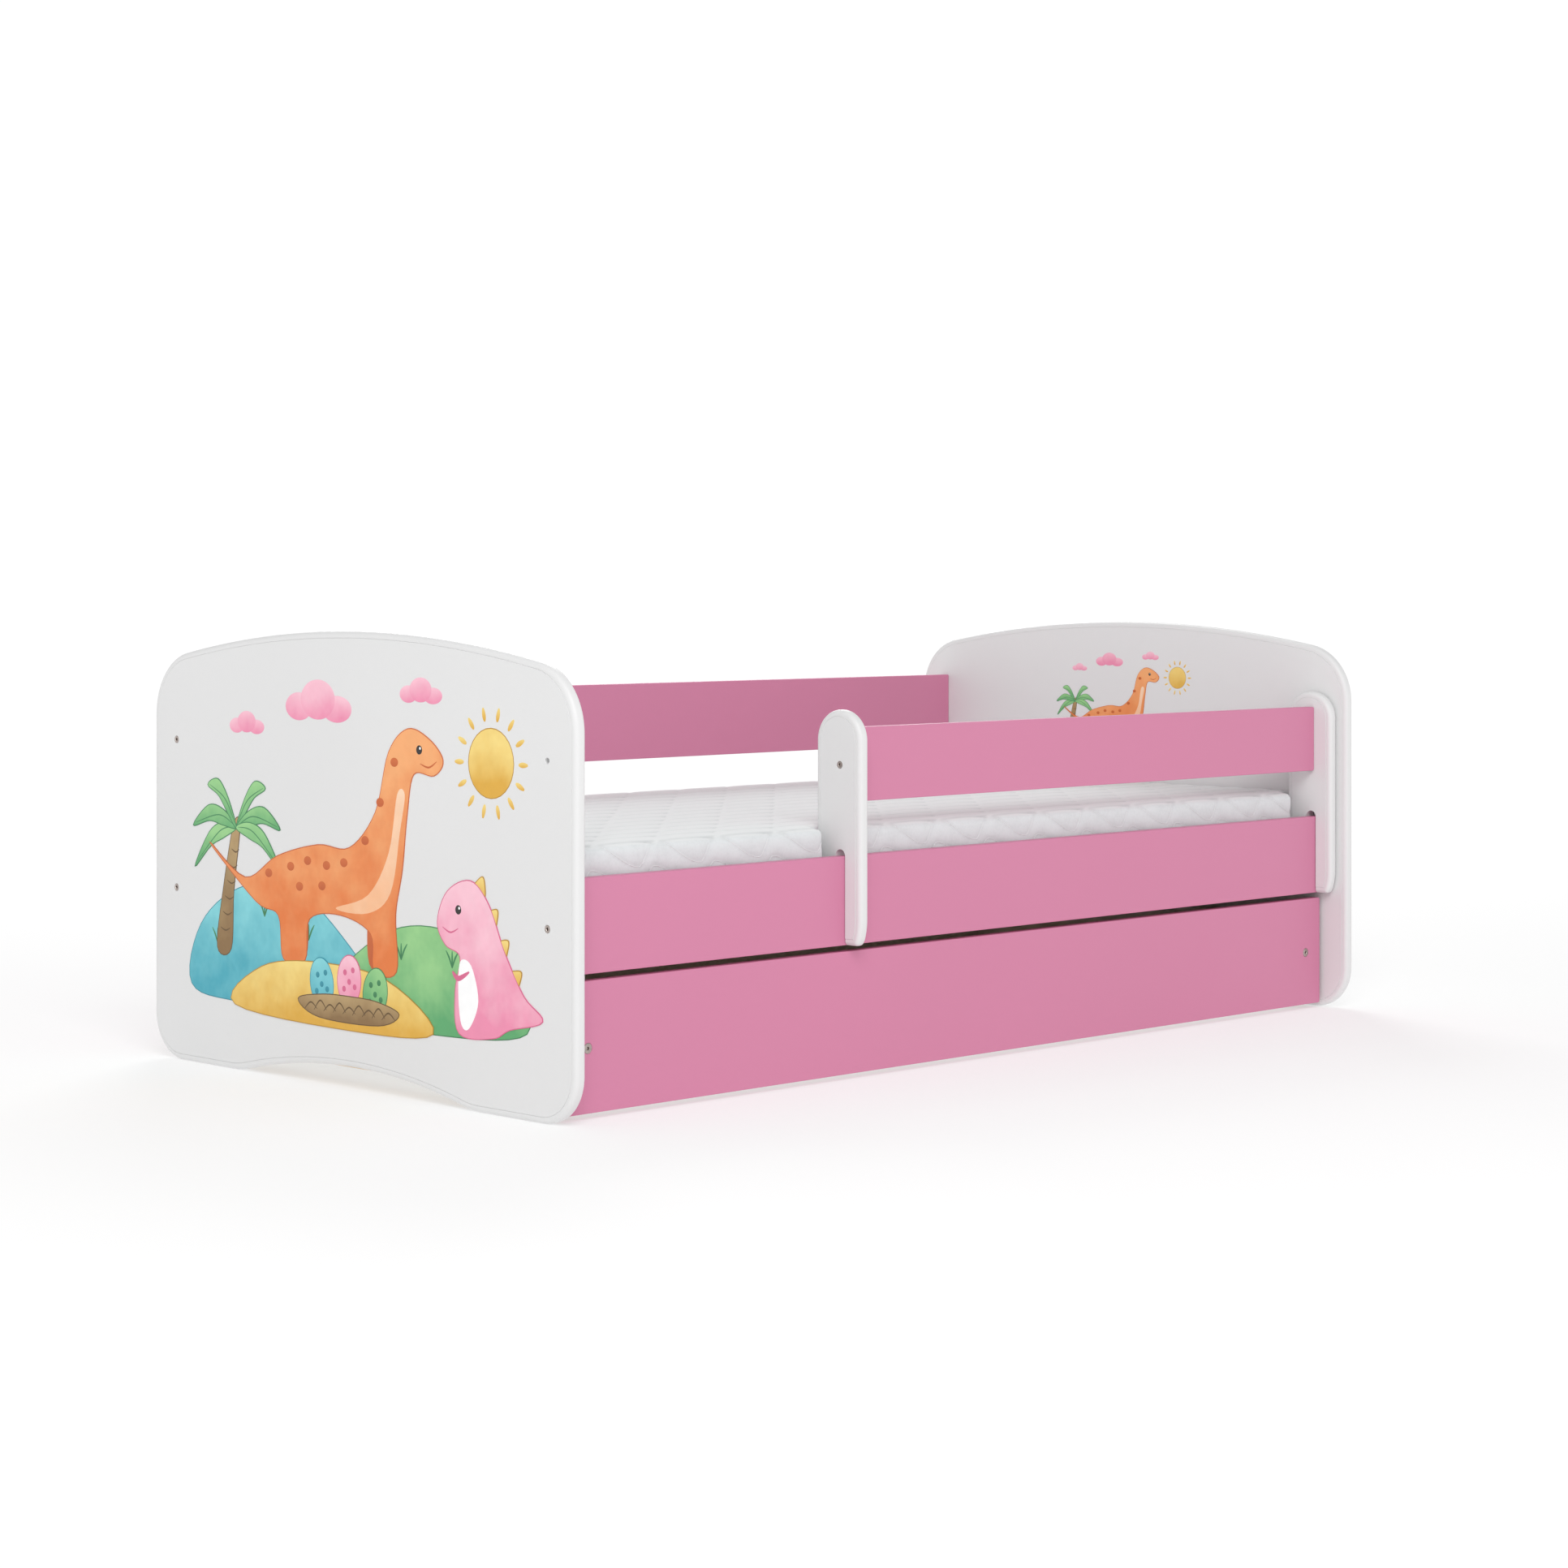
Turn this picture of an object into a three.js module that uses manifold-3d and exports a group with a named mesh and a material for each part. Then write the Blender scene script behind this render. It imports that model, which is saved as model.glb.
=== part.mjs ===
// Toddler bed with a lift-off guard rail, a full-width drawer on roller runners and a mattress.
// Millimetres. X runs from the foot end to the head end, Y from the open front side to the back, Z up.
// The origin is on the floor, under the middle of the bed.

import * as THREE from 'three';
import { mergeVertices } from 'three/addons/utils/BufferGeometryUtils.js';
import Module from 'manifold-3d';

const wasm = await Module();
wasm.setup();

// Driving dimensions
const BED = { length: 1640, width: 910, height: 610.5 };
const GAP = 0.3;
const PANEL = { thickness: 18, topRadius: 2140, topCorner: 90, footCorner: 65, edgeRadius: 6 };
const ARCH = { radius: 1055, rise: 30, blend: 150 };
const RAIL = { thickness: 16, height: 121, y: 400.5, lowerZ: 183.4, upperZ: 392.9, edgeRadius: 3 };
const POST = {
  thickness: 18, width: 84, y: -396, topZ: 502.7, bottomZ: 183.4, middleX: -286, headX: 791.5,
  taperHeight: 36, taperRadius: 90, taperAngle: 0.366, toeRadius: 7,
};
const SLOT = { width: 18, innerLegZ: 231.3 };
const GUARD_BOARD = { height: 101.2, z: 377.3, y: -399 };
const MATTRESS = { length: 1594, width: 776, thickness: 100, top: 343, corner: 60, edge: 14 };
const NOTCH = { clearance: 8, depthY: -346, headSoftness: 22, softness: 9 };
const SLAT = { count: 13, width: 65, thickness: 12, length: 778, pitch: 121 };
const BATTEN = { height: 30, depth: 24, length: 1596 };
const DRAWER = {
  frontHeight: 167, frontZ: 7.9, frontHalfLength: 795.7, boardThickness: 16, frontY: -408,
  sideX: 758.5, sideHeight: 120, backY: 292, bottomThickness: 4, bottomZ: 22.2, screwZ: 90, edgeRadius: 3,
};
const SPACER = { thickness: 21.7, height: 60, z: 26 };
const RUNNER = { metal: 1.2, channelZ: 40, channelHeight: 32.2, flange: 9, startY: -385, length: 660 };
const ROLLER = { radius: 10, width: 7.2, bore: 2.8, pin: 2.5, rivetHead: 4, frontY: -371, rearY: 245 };
const SCREW = { head: 5, wideHead: 6.7, neck: 3.5, thread: 2.6, length: 50, socket: 2.3, socketDepth: 3 };
const DOWEL = { radius: 4, length: 34, inPanel: 12, offsetZ: 36 };
const SCREW_SIDES = 12;

const COLOURS = { white: 0xeeeeee, pink: 0xe08bb0, pine: 0xe3c393, steel: 0x9d918c, zinc: 0xd9d9d6 };
const MATERIALS = {
  white: { color: COLOURS.white, roughness: 0.45, metalness: 0 },
  pink: { color: COLOURS.pink, roughness: 0.5, metalness: 0 },
  drawerBoard: { color: 0xf1efea, roughness: 0.55, metalness: 0 },
  hardboard: { color: 0xece7dd, roughness: 0.6, metalness: 0 },
  pine: { color: COLOURS.pine, roughness: 0.7, metalness: 0 },
  steel: { color: COLOURS.steel, roughness: 0.35, metalness: 1 },
  runner: { color: COLOURS.zinc, roughness: 0.4, metalness: 0.2 },
  nylon: { color: 0xf4f4f2, roughness: 0.4, metalness: 0 },
  fabric: { color: 0xf3f3f5, roughness: 0.9, metalness: 0 },
};

// Local x, y and z of an extrusion become these directions of the bed.
const ALONG_X = new THREE.Matrix4().makeBasis(
  new THREE.Vector3(0, 1, 0), new THREE.Vector3(0, 0, 1), new THREE.Vector3(1, 0, 0));
const ALONG_Y = new THREE.Matrix4().makeBasis(
  new THREE.Vector3(0, 0, 1), new THREE.Vector3(1, 0, 0), new THREE.Vector3(0, 1, 0));
const ALONG_Z = new THREE.Matrix4();

const bed = new THREE.Group();

function addPiece(name, geometry, finish) {
  const mesh = new THREE.Mesh(geometry, new THREE.MeshStandardMaterial(MATERIALS[finish]));
  mesh.name = name;
  bed.add(mesh);
}

// Solids for cutting and joining
function toSolid(geometry) {
  const bare = geometry.clone();
  bare.deleteAttribute('normal');
  bare.deleteAttribute('uv');
  const merged = mergeVertices(bare, 1e-4);
  return new wasm.Manifold(new wasm.Mesh({
    numProp: 3,
    vertProperties: new Float32Array(merged.attributes.position.array),
    triVerts: new Uint32Array(merged.index.array),
  }));
}

function toGeometry(solid) {
  const mesh = solid.getMesh();
  const geometry = new THREE.BufferGeometry();
  const positions = new Float32Array(mesh.vertProperties);
  geometry.setAttribute('position', new THREE.BufferAttribute(positions, 3));
  geometry.setIndex(new THREE.BufferAttribute(new Uint32Array(mesh.triVerts), 1));
  geometry.computeVertexNormals();
  return geometry;
}

function cut(geometry, tools) {
  return toGeometry(tools.reduce((solid, tool) => solid.subtract(toSolid(tool)), toSolid(geometry)));
}

function join(geometry, others) {
  return toGeometry(others.reduce((solid, other) => solid.add(toSolid(other)), toSolid(geometry)));
}

// Outlines
function arc(centreX, centreY, radius, start, end, steps) {
  return Array.from({ length: steps + 1 }, (_, i) => {
    const angle = start + (end - start) * i / steps;
    return new THREE.Vector2(centreX + radius * Math.cos(angle), centreY + radius * Math.sin(angle));
  });
}

function roundedRectangle(x0, y0, x1, y1, radius, steps) {
  const quarter = Math.PI / 2;
  return [
    ...arc(x1 - radius, y0 + radius, radius, -quarter, 0, steps),
    ...arc(x1 - radius, y1 - radius, radius, 0, quarter, steps),
    ...arc(x0 + radius, y1 - radius, radius, quarter, Math.PI, steps),
    ...arc(x0 + radius, y0 + radius, radius, Math.PI, 3 * quarter, steps),
  ];
}

// Extrudes an outline from start to end along one direction, with both rims rounded by edge.
function extrude(outline, direction, start, end, edge = 0, edgeSteps = 2) {
  const geometry = new THREE.ExtrudeGeometry(new THREE.Shape(outline), {
    depth: end - start - 2 * edge,
    bevelEnabled: edge > 0,
    bevelThickness: edge,
    bevelSize: edge,
    bevelOffset: -edge,
    bevelSegments: edgeSteps,
  });
  geometry.translate(0, 0, start + edge);
  return geometry.applyMatrix4(direction);
}

function block(x0, x1, y0, y1, z0, z1) {
  const geometry = new THREE.BoxGeometry(x1 - x0, y1 - y0, z1 - z0);
  return geometry.translate((x0 + x1) / 2, (y0 + y1) / 2, (z0 + z1) / 2);
}

// A board that runs along X, with its four long edges rounded.
function boardAlongX(x0, x1, y0, y1, z0, z1, radius = RAIL.edgeRadius) {
  return extrude(roundedRectangle(y0, z0, y1, z1, radius, 3), ALONG_X, x0, x1);
}

// A body of revolution about X. The profile is a list of [distance along X, radius].
function turned(profile, x, y, z, inward, sides = SCREW_SIDES) {
  const points = profile.map(([along, radius]) => new THREE.Vector2(radius, along));
  const geometry = new THREE.LatheGeometry(points, sides);
  const turn = inward > 0 ? -Math.PI / 2 : Math.PI / 2;
  return geometry.rotateZ(turn).translate(x, y, z);
}

// Furniture screws, dowels and the holes for them
function screwProfile(head, spare = 0) {
  const face = spare > 0 ? -4 : 0.2;
  const tail = SCREW.length + spare;
  return [
    [face, 0], [face, head + spare], [1, head + spare], [4, SCREW.neck + spare], [18, SCREW.neck + spare],
    [20, SCREW.thread + spare], [tail - 2, SCREW.thread + spare], [tail, 0],
  ];
}

function screw(x, y, z, inward, head = SCREW.head) {
  const socket = new THREE.CylinderGeometry(SCREW.socket, SCREW.socket, 2 * SCREW.socketDepth, 6);
  socket.rotateZ(Math.PI / 2).translate(x, y, z);
  return cut(turned(screwProfile(head), x, y, z, inward), [socket]);
}

function screwHole(x, y, z, inward, head = SCREW.head) {
  return turned(screwProfile(head, GAP), x, y, z, inward);
}

function dowelProfile(spare = 0) {
  const chamfer = 1;
  const end = DOWEL.length + spare;
  return [
    [-spare, 0], [-spare, DOWEL.radius - chamfer + spare], [chamfer - spare, DOWEL.radius + spare],
    [end - chamfer, DOWEL.radius + spare], [end, DOWEL.radius - chamfer + spare], [end, 0],
  ];
}

function dowel(x, y, z, inward, spare = 0) {
  return turned(dowelProfile(spare), x, y, z, inward);
}

// Turns a piece that was made along X so that it runs along Y from the same point.
function swing(geometry, x, y, z) {
  return geometry.translate(-x, -y, -z).rotateZ(Math.PI / 2).translate(x, y, z);
}

const END_X = BED.length / 2;
const INNER_X = END_X - PANEL.thickness;
const RAIL_CENTRE_Z = { lower: RAIL.lowerZ + RAIL.height / 2, upper: RAIL.upperZ + RAIL.height / 2 };
const ENDS = [
  { name: 'foot', side: -1 },
  { name: 'head', side: 1 },
];
const RAILS = [
  { name: 'front_side_rail', y: -RAIL.y, z: RAIL_CENTRE_Z.lower },
  { name: 'back_side_rail', y: RAIL.y, z: RAIL_CENTRE_Z.lower },
  { name: 'back_upper_rail', y: RAIL.y, z: RAIL_CENTRE_Z.upper },
];
const SPARE_HOLE = { y: -RAIL.y, z: RAIL_CENTRE_Z.upper };

// End panels: a flat arc on top, rounded corners, and a shallow arch between two feet.
function panelOutline() {
  const half = BED.width / 2;
  const topCentreZ = BED.height - PANEL.topRadius;
  const cornerY = half - PANEL.topCorner;
  const reach = PANEL.topRadius - PANEL.topCorner;
  const cornerZ = topCentreZ + Math.sqrt(reach ** 2 - cornerY ** 2);
  const topAngle = Math.acos(cornerY / reach);
  const archCentreZ = ARCH.rise - ARCH.radius;
  const blendReach = ARCH.radius + ARCH.blend;
  const blendY = Math.sqrt(blendReach ** 2 - (ARCH.blend - archCentreZ) ** 2);
  const archAngle = Math.acos(blendY / blendReach);
  const footY = half - PANEL.footCorner;
  const quarter = Math.PI / 2;
  const backHalf = [
    ...arc(0, archCentreZ, ARCH.radius, quarter, archAngle, 6),
    ...arc(blendY, ARCH.blend, ARCH.blend, Math.PI + archAngle, 3 * quarter, 3).slice(1),
    ...arc(footY, PANEL.footCorner, PANEL.footCorner, -quarter, 0, 8),
    ...arc(cornerY, cornerZ, PANEL.topCorner, 0, topAngle, 8),
    ...arc(0, topCentreZ, PANEL.topRadius, topAngle, quarter, 8).slice(1),
  ];
  const frontHalf = backHalf.slice(1, -1).reverse().map((p) => new THREE.Vector2(-p.x, p.y));
  return [...backHalf, ...frontHalf];
}

function endPanel({ name, side }) {
  const start = side < 0 ? -END_X : INNER_X;
  const panel = extrude(panelOutline(), ALONG_X, start, start + PANEL.thickness, PANEL.edgeRadius);
  const holes = [...RAILS, SPARE_HOLE].map((hole) => screwHole(side * END_X, hole.y, hole.z, -side));
  const sockets = RAILS.map((rail) => dowelAtEnd(rail, side, GAP));
  addPiece(`${name}_end_panel`, cut(panel, [...holes, ...sockets]), 'white');
}

function dowelAtEnd(rail, side, spare = 0) {
  const x = side * (INNER_X + DOWEL.inPanel);
  return dowel(x, rail.y, rail.z + DOWEL.offsetZ, -side, spare);
}

ENDS.forEach(endPanel);

// Rails between the panels, each with a screw and a dowel at both ends
function rail(entry) {
  const reach = INNER_X - GAP;
  const half = RAIL.thickness / 2;
  const board = boardAlongX(
    -reach, reach, entry.y - half, entry.y + half, entry.z - RAIL.height / 2, entry.z + RAIL.height / 2);
  const holes = ENDS.flatMap(({ side }) => [
    screwHole(side * END_X, entry.y, entry.z, -side),
    dowelAtEnd(entry, side, GAP),
  ]);
  addPiece(entry.name, cut(board, holes), 'pink');
  for (const { name, side } of ENDS) {
    addPiece(`${entry.name}_screw_${name}`, screw(side * END_X, entry.y, entry.z, -side), 'steel');
    addPiece(`${entry.name}_dowel_${name}`, dowelAtEnd(entry, side), 'pine');
  }
}

RAILS.forEach(rail);

// Battens on the inner faces of the side rails, and the slats that lie on them
const SLAT_TOP = MATTRESS.top - MATTRESS.thickness - GAP;
const SLAT_BOTTOM = SLAT_TOP - SLAT.thickness;
const BATTEN_TOP = SLAT_BOTTOM - GAP;

for (const [name, side] of [['front', -1], ['back', 1]]) {
  const outer = side * (RAIL.y - RAIL.thickness / 2 - GAP);
  const inner = outer - side * BATTEN.depth;
  const batten = boardAlongX(
    -BATTEN.length / 2, BATTEN.length / 2, Math.min(outer, inner), Math.max(outer, inner),
    BATTEN_TOP - BATTEN.height, BATTEN_TOP, 1.5);
  addPiece(`slat_batten_${name}`, batten, 'pine');
}

for (let i = 0; i < SLAT.count; i += 1) {
  const x = (i - (SLAT.count - 1) / 2) * SLAT.pitch;
  const outline = roundedRectangle(SLAT_BOTTOM, x - SLAT.width / 2, SLAT_TOP, x + SLAT.width / 2, 2, 2);
  const slat = extrude(outline, ALONG_Y, -SLAT.length / 2, SLAT.length / 2);
  addPiece(`slat_${String(i + 1).padStart(2, '0')}`, slat, 'pine');
}

// Guard: two slotted posts that hook over the front rail, and the board between them
function postOutline() {
  const half = POST.width / 2;
  const front = POST.y - half;
  const back = POST.y + half;
  const taperTop = POST.bottomZ + POST.taperHeight;
  const taper = arc(
    front + POST.taperRadius, taperTop, POST.taperRadius, Math.PI, Math.PI + POST.taperAngle, 5);
  const taperEnd = taper[taper.length - 1];
  const toe = arc(
    taperEnd.x + POST.toeRadius, POST.bottomZ + POST.toeRadius, POST.toeRadius,
    Math.PI + POST.taperAngle, 1.5 * Math.PI, 4);
  return [
    new THREE.Vector2(back, POST.bottomZ),
    ...arc(POST.y, POST.topZ - half, half, 0, Math.PI, 16),
    ...taper.slice(0, -1),
    ...toe,
  ];
}

const RAIL_TOP = RAIL.lowerZ + RAIL.height;
const GUARD_CENTRE_Z = GUARD_BOARD.z + GUARD_BOARD.height / 2;

function guardPost(name, x, inward) {
  const half = POST.thickness / 2;
  const below = POST.bottomZ - 5;
  const slotStart = -RAIL.y - SLOT.width / 2;
  const slotEnd = -RAIL.y + SLOT.width / 2;
  const slot = extrude([
    new THREE.Vector2(slotStart, below),
    new THREE.Vector2(slotEnd, below),
    ...arc(-RAIL.y, RAIL_TOP, SLOT.width / 2, 0, Math.PI, 10),
  ], ALONG_X, x - half - 1, x + half + 1);
  const underInnerLeg = block(
    x - half - 1, x + half + 1, -RAIL.y, POST.y + POST.width / 2 + 1, below, SLOT.innerLegZ);
  const outerFace = x - inward * half;
  const post = extrude(postOutline(), ALONG_X, x - half, x + half, PANEL.edgeRadius);
  const tools = [
    slot,
    underInnerLeg,
    screwHole(outerFace, GUARD_BOARD.y, GUARD_CENTRE_Z, inward),
    guardDowel(x, inward, GAP),
  ];
  addPiece(`guard_post_${name}`, cut(post, tools), 'white');
  addPiece(`guard_screw_${name}`, screw(outerFace, GUARD_BOARD.y, GUARD_CENTRE_Z, inward), 'steel');
  addPiece(`guard_dowel_${name}`, guardDowel(x, inward), 'pine');
}

function guardDowel(x, inward, spare = 0) {
  const start = x + inward * (POST.thickness / 2 - DOWEL.inPanel);
  return dowel(start, GUARD_BOARD.y, GUARD_CENTRE_Z + DOWEL.offsetZ * 0.8, inward, spare);
}

const POSTS = [
  { name: 'middle', x: POST.middleX, inward: 1 },
  { name: 'head', x: POST.headX, inward: -1 },
];

function guardBoard() {
  const half = POST.thickness / 2;
  const board = boardAlongX(
    POST.middleX + half + GAP, POST.headX - half - GAP,
    GUARD_BOARD.y - RAIL.thickness / 2, GUARD_BOARD.y + RAIL.thickness / 2,
    GUARD_BOARD.z, GUARD_BOARD.z + GUARD_BOARD.height);
  const holes = POSTS.flatMap(({ x, inward }) => [
    screwHole(x - inward * half, GUARD_BOARD.y, GUARD_CENTRE_Z, inward),
    guardDowel(x, inward, GAP),
  ]);
  addPiece('guard_board', cut(board, holes), 'pink');
}

POSTS.forEach(({ name, x, inward }) => guardPost(name, x, inward));
guardBoard();

// Mattress: rounded corners, pressed in round the inner legs of the guard posts
function mattressOutline() {
  const halfX = MATTRESS.length / 2;
  const halfY = MATTRESS.width / 2;
  const quarter = Math.PI / 2;
  const r = MATTRESS.corner;
  const soft = NOTCH.softness;
  const reach = POST.thickness / 2 + NOTCH.clearance;
  const notchStart = POST.middleX - reach;
  const notchEnd = POST.middleX + reach;
  const headNotch = POST.headX - reach;
  const headSoft = NOTCH.headSoftness;
  return [
    ...arc(-halfX + r, -halfY + r, r, Math.PI, 3 * quarter, 8),
    ...arc(notchStart - soft, -halfY + soft, soft, -quarter, 0, 3),
    new THREE.Vector2(notchStart, NOTCH.depthY),
    new THREE.Vector2(notchEnd, NOTCH.depthY),
    ...arc(notchEnd + soft, -halfY + soft, soft, Math.PI, 3 * quarter, 3),
    ...arc(headNotch - headSoft, -halfY + headSoft, headSoft, -quarter, 0, 4),
    ...arc(halfX - soft, NOTCH.depthY + soft, soft, -quarter, 0, 3),
    ...arc(halfX - r, halfY - r, r, 0, quarter, 8),
    ...arc(-halfX + r, halfY - r, r, quarter, Math.PI, 8),
  ];
}

addPiece('mattress', extrude(
  mattressOutline(), ALONG_Z, MATTRESS.top - MATTRESS.thickness, MATTRESS.top, MATTRESS.edge / 2, 2), 'fabric');

// Drawer
const DRAWER_BACK_FACE = DRAWER.frontY + DRAWER.boardThickness;
const SIDE_BOTTOM = DRAWER.bottomZ + DRAWER.bottomThickness + GAP;
const SIDE_TOP = SIDE_BOTTOM + DRAWER.sideHeight;
const SIDE_OUTER = DRAWER.sideX + DRAWER.boardThickness / 2;
const SIDE_INNER = DRAWER.sideX - DRAWER.boardThickness / 2;
const BACK_SCREW_Z = SIDE_BOTTOM + DRAWER.sideHeight / 2;
const BACK_CENTRE_Y = DRAWER.backY - DRAWER.boardThickness / 2;

function drawerScrewHole(side) {
  const x = side * DRAWER.sideX;
  return swing(
    screwHole(x, DRAWER.frontY, DRAWER.screwZ, 1, SCREW.wideHead), x, DRAWER.frontY, DRAWER.screwZ);
}

function drawerFront() {
  const half = DRAWER.frontHalfLength;
  const outline = roundedRectangle(
    DRAWER.frontZ, -half, DRAWER.frontZ + DRAWER.frontHeight, half, DRAWER.edgeRadius + 1, 3);
  const front = extrude(outline, ALONG_Y, DRAWER.frontY, DRAWER_BACK_FACE, DRAWER.edgeRadius);
  addPiece('drawer_front', cut(front, ENDS.map(({ side }) => drawerScrewHole(side))), 'pink');
}

function drawerSide({ name, side }) {
  const inner = side * SIDE_INNER;
  const outer = side * SIDE_OUTER;
  const outline = roundedRectangle(
    SIDE_BOTTOM, Math.min(inner, outer), SIDE_TOP, Math.max(inner, outer), 1.5, 2);
  const board = extrude(outline, ALONG_Y, DRAWER_BACK_FACE + GAP, DRAWER.backY);
  const backHole = screwHole(outer, BACK_CENTRE_Y, BACK_SCREW_Z, -side);
  addPiece(`drawer_side_${name}`, cut(board, [drawerScrewHole(side), backHole]), 'drawerBoard');
  const frontX = side * DRAWER.sideX;
  const frontScrew = swing(
    screw(frontX, DRAWER.frontY, DRAWER.screwZ, 1, SCREW.wideHead), frontX, DRAWER.frontY, DRAWER.screwZ);
  addPiece(`drawer_front_screw_${name}`, frontScrew, 'steel');
  addPiece(`drawer_back_screw_${name}`, screw(outer, BACK_CENTRE_Y, BACK_SCREW_Z, -side), 'steel');
}

function drawerBack() {
  const reach = SIDE_INNER - GAP;
  const board = boardAlongX(
    -reach, reach, DRAWER.backY - DRAWER.boardThickness, DRAWER.backY, SIDE_BOTTOM, SIDE_TOP, 1.5);
  const holes = ENDS.map(({ side }) => screwHole(side * SIDE_OUTER, BACK_CENTRE_Y, BACK_SCREW_Z, -side));
  addPiece('drawer_back', cut(board, holes), 'drawerBoard');
}

drawerFront();
ENDS.forEach(drawerSide);
drawerBack();
addPiece('drawer_bottom', block(
  -SIDE_OUTER, SIDE_OUTER, DRAWER_BACK_FACE + GAP, DRAWER.backY,
  DRAWER.bottomZ, DRAWER.bottomZ + DRAWER.bottomThickness), 'hardboard');

// Roller runners. The cabinet runner is a channel on a spacer; the drawer runner is an L on the drawer side,
// whose flange lies on the front roller, while its own rear roller runs in the channel.
const SPACER_FACE = INNER_X - GAP - SPACER.thickness;
const CHANNEL_BACK = SPACER_FACE - GAP;
const WEB_FACE = CHANNEL_BACK - RUNNER.metal;
const DRAWER_WEB = SIDE_OUTER + GAP;
const DRAWER_WEB_FACE = DRAWER_WEB + RUNNER.metal;
const CHANNEL_FLOOR = RUNNER.channelZ + RUNNER.metal;
const REAR_AXLE_Z = CHANNEL_FLOOR + GAP + ROLLER.radius;
const FRONT_AXLE_Z = REAR_AXLE_Z + 0.2;
const FLANGE_Z = FRONT_AXLE_Z + ROLLER.radius + GAP;

// A pin riveted into a runner: the far end carries a head that keeps the roller on.
function rivet(side, webFace, outward, y, z) {
  const reach = GAP + ROLLER.width + GAP;
  const profile = [
    [-RUNNER.metal / 2, 0], [-RUNNER.metal / 2, ROLLER.pin], [reach, ROLLER.pin], [reach, ROLLER.rivetHead],
    [reach + 1, ROLLER.rivetHead], [reach + 1, 0],
  ];
  return turned(profile, side * webFace, y, z, side * outward);
}

function roller(side, webFace, outward, y, z) {
  const hub = 6;
  const rimEdge = 0.8;
  const recess = 1.2;
  const profile = [
    [0, ROLLER.bore], [0, hub], [recess, hub + rimEdge], [recess, ROLLER.radius - 2], [0, ROLLER.radius - 1],
    [rimEdge, ROLLER.radius], [ROLLER.width - rimEdge, ROLLER.radius], [ROLLER.width, ROLLER.radius - 1],
    [ROLLER.width, ROLLER.bore], [0, ROLLER.bore],
  ];
  const start = webFace + outward * GAP;
  return turned(profile, side * start, y, z, side * outward, 18);
}

function mirroredX(side, points) {
  const placed = points.map(([x, z]) => new THREE.Vector2(z, side * x));
  return side > 0 ? placed : placed.reverse();
}

function runnerSet({ name, side }) {
  const end = RUNNER.startY + RUNNER.length;
  const spacer = block(
    Math.min(side * SPACER_FACE, side * (INNER_X - GAP)), Math.max(side * SPACER_FACE, side * (INNER_X - GAP)),
    RUNNER.startY, end, SPACER.z, SPACER.z + SPACER.height);
  addPiece(`runner_spacer_${name}`, spacer, 'pine');

  const lip = WEB_FACE - RUNNER.flange;
  const roof = RUNNER.channelZ + RUNNER.channelHeight - RUNNER.metal;
  const channel = mirroredX(side, [
    [CHANNEL_BACK, RUNNER.channelZ], [CHANNEL_BACK, roof + RUNNER.metal], [lip, roof + RUNNER.metal],
    [lip, roof], [WEB_FACE, roof], [WEB_FACE, CHANNEL_FLOOR], [lip, CHANNEL_FLOOR], [lip, RUNNER.channelZ],
  ]);
  const frontPin = rivet(side, WEB_FACE, -1, ROLLER.frontY, FRONT_AXLE_Z);
  addPiece(`cabinet_runner_${name}`, join(extrude(channel, ALONG_Y, RUNNER.startY, end), [frontPin]), 'runner');
  addPiece(`front_roller_${name}`, roller(side, WEB_FACE, -1, ROLLER.frontY, FRONT_AXLE_Z), 'nylon');

  const flangeEnd = WEB_FACE - 1;
  const webTop = FLANGE_Z + 12;
  const webBottom = REAR_AXLE_Z - 8;
  const angle = mirroredX(side, [
    [DRAWER_WEB, webBottom], [DRAWER_WEB_FACE, webBottom], [DRAWER_WEB_FACE, FLANGE_Z],
    [flangeEnd, FLANGE_Z], [flangeEnd, FLANGE_Z + RUNNER.metal], [DRAWER_WEB_FACE, FLANGE_Z + RUNNER.metal],
    [DRAWER_WEB_FACE, webTop], [DRAWER_WEB, webTop],
  ]);
  const drawerRunner = extrude(angle, ALONG_Y, DRAWER_BACK_FACE + 1, ROLLER.rearY + 14);
  const screwHead = screwHole(side * SIDE_OUTER, BACK_CENTRE_Y, BACK_SCREW_Z, -side);
  const rearPin = rivet(side, DRAWER_WEB_FACE, 1, ROLLER.rearY, REAR_AXLE_Z);
  addPiece(`drawer_runner_${name}`, cut(join(drawerRunner, [rearPin]), [screwHead]), 'runner');
  addPiece(`rear_roller_${name}`, roller(side, DRAWER_WEB_FACE, 1, ROLLER.rearY, REAR_AXLE_Z), 'nylon');
}

ENDS.forEach(runnerSet);

export default bed;
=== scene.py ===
"""Looks of a toddler bed: lacquered boards, printed end panels, a drawer, and a quilted mattress."""

import math

import bmesh
import bpy
import numpy as np
from mathutils import Matrix, Vector


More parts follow.
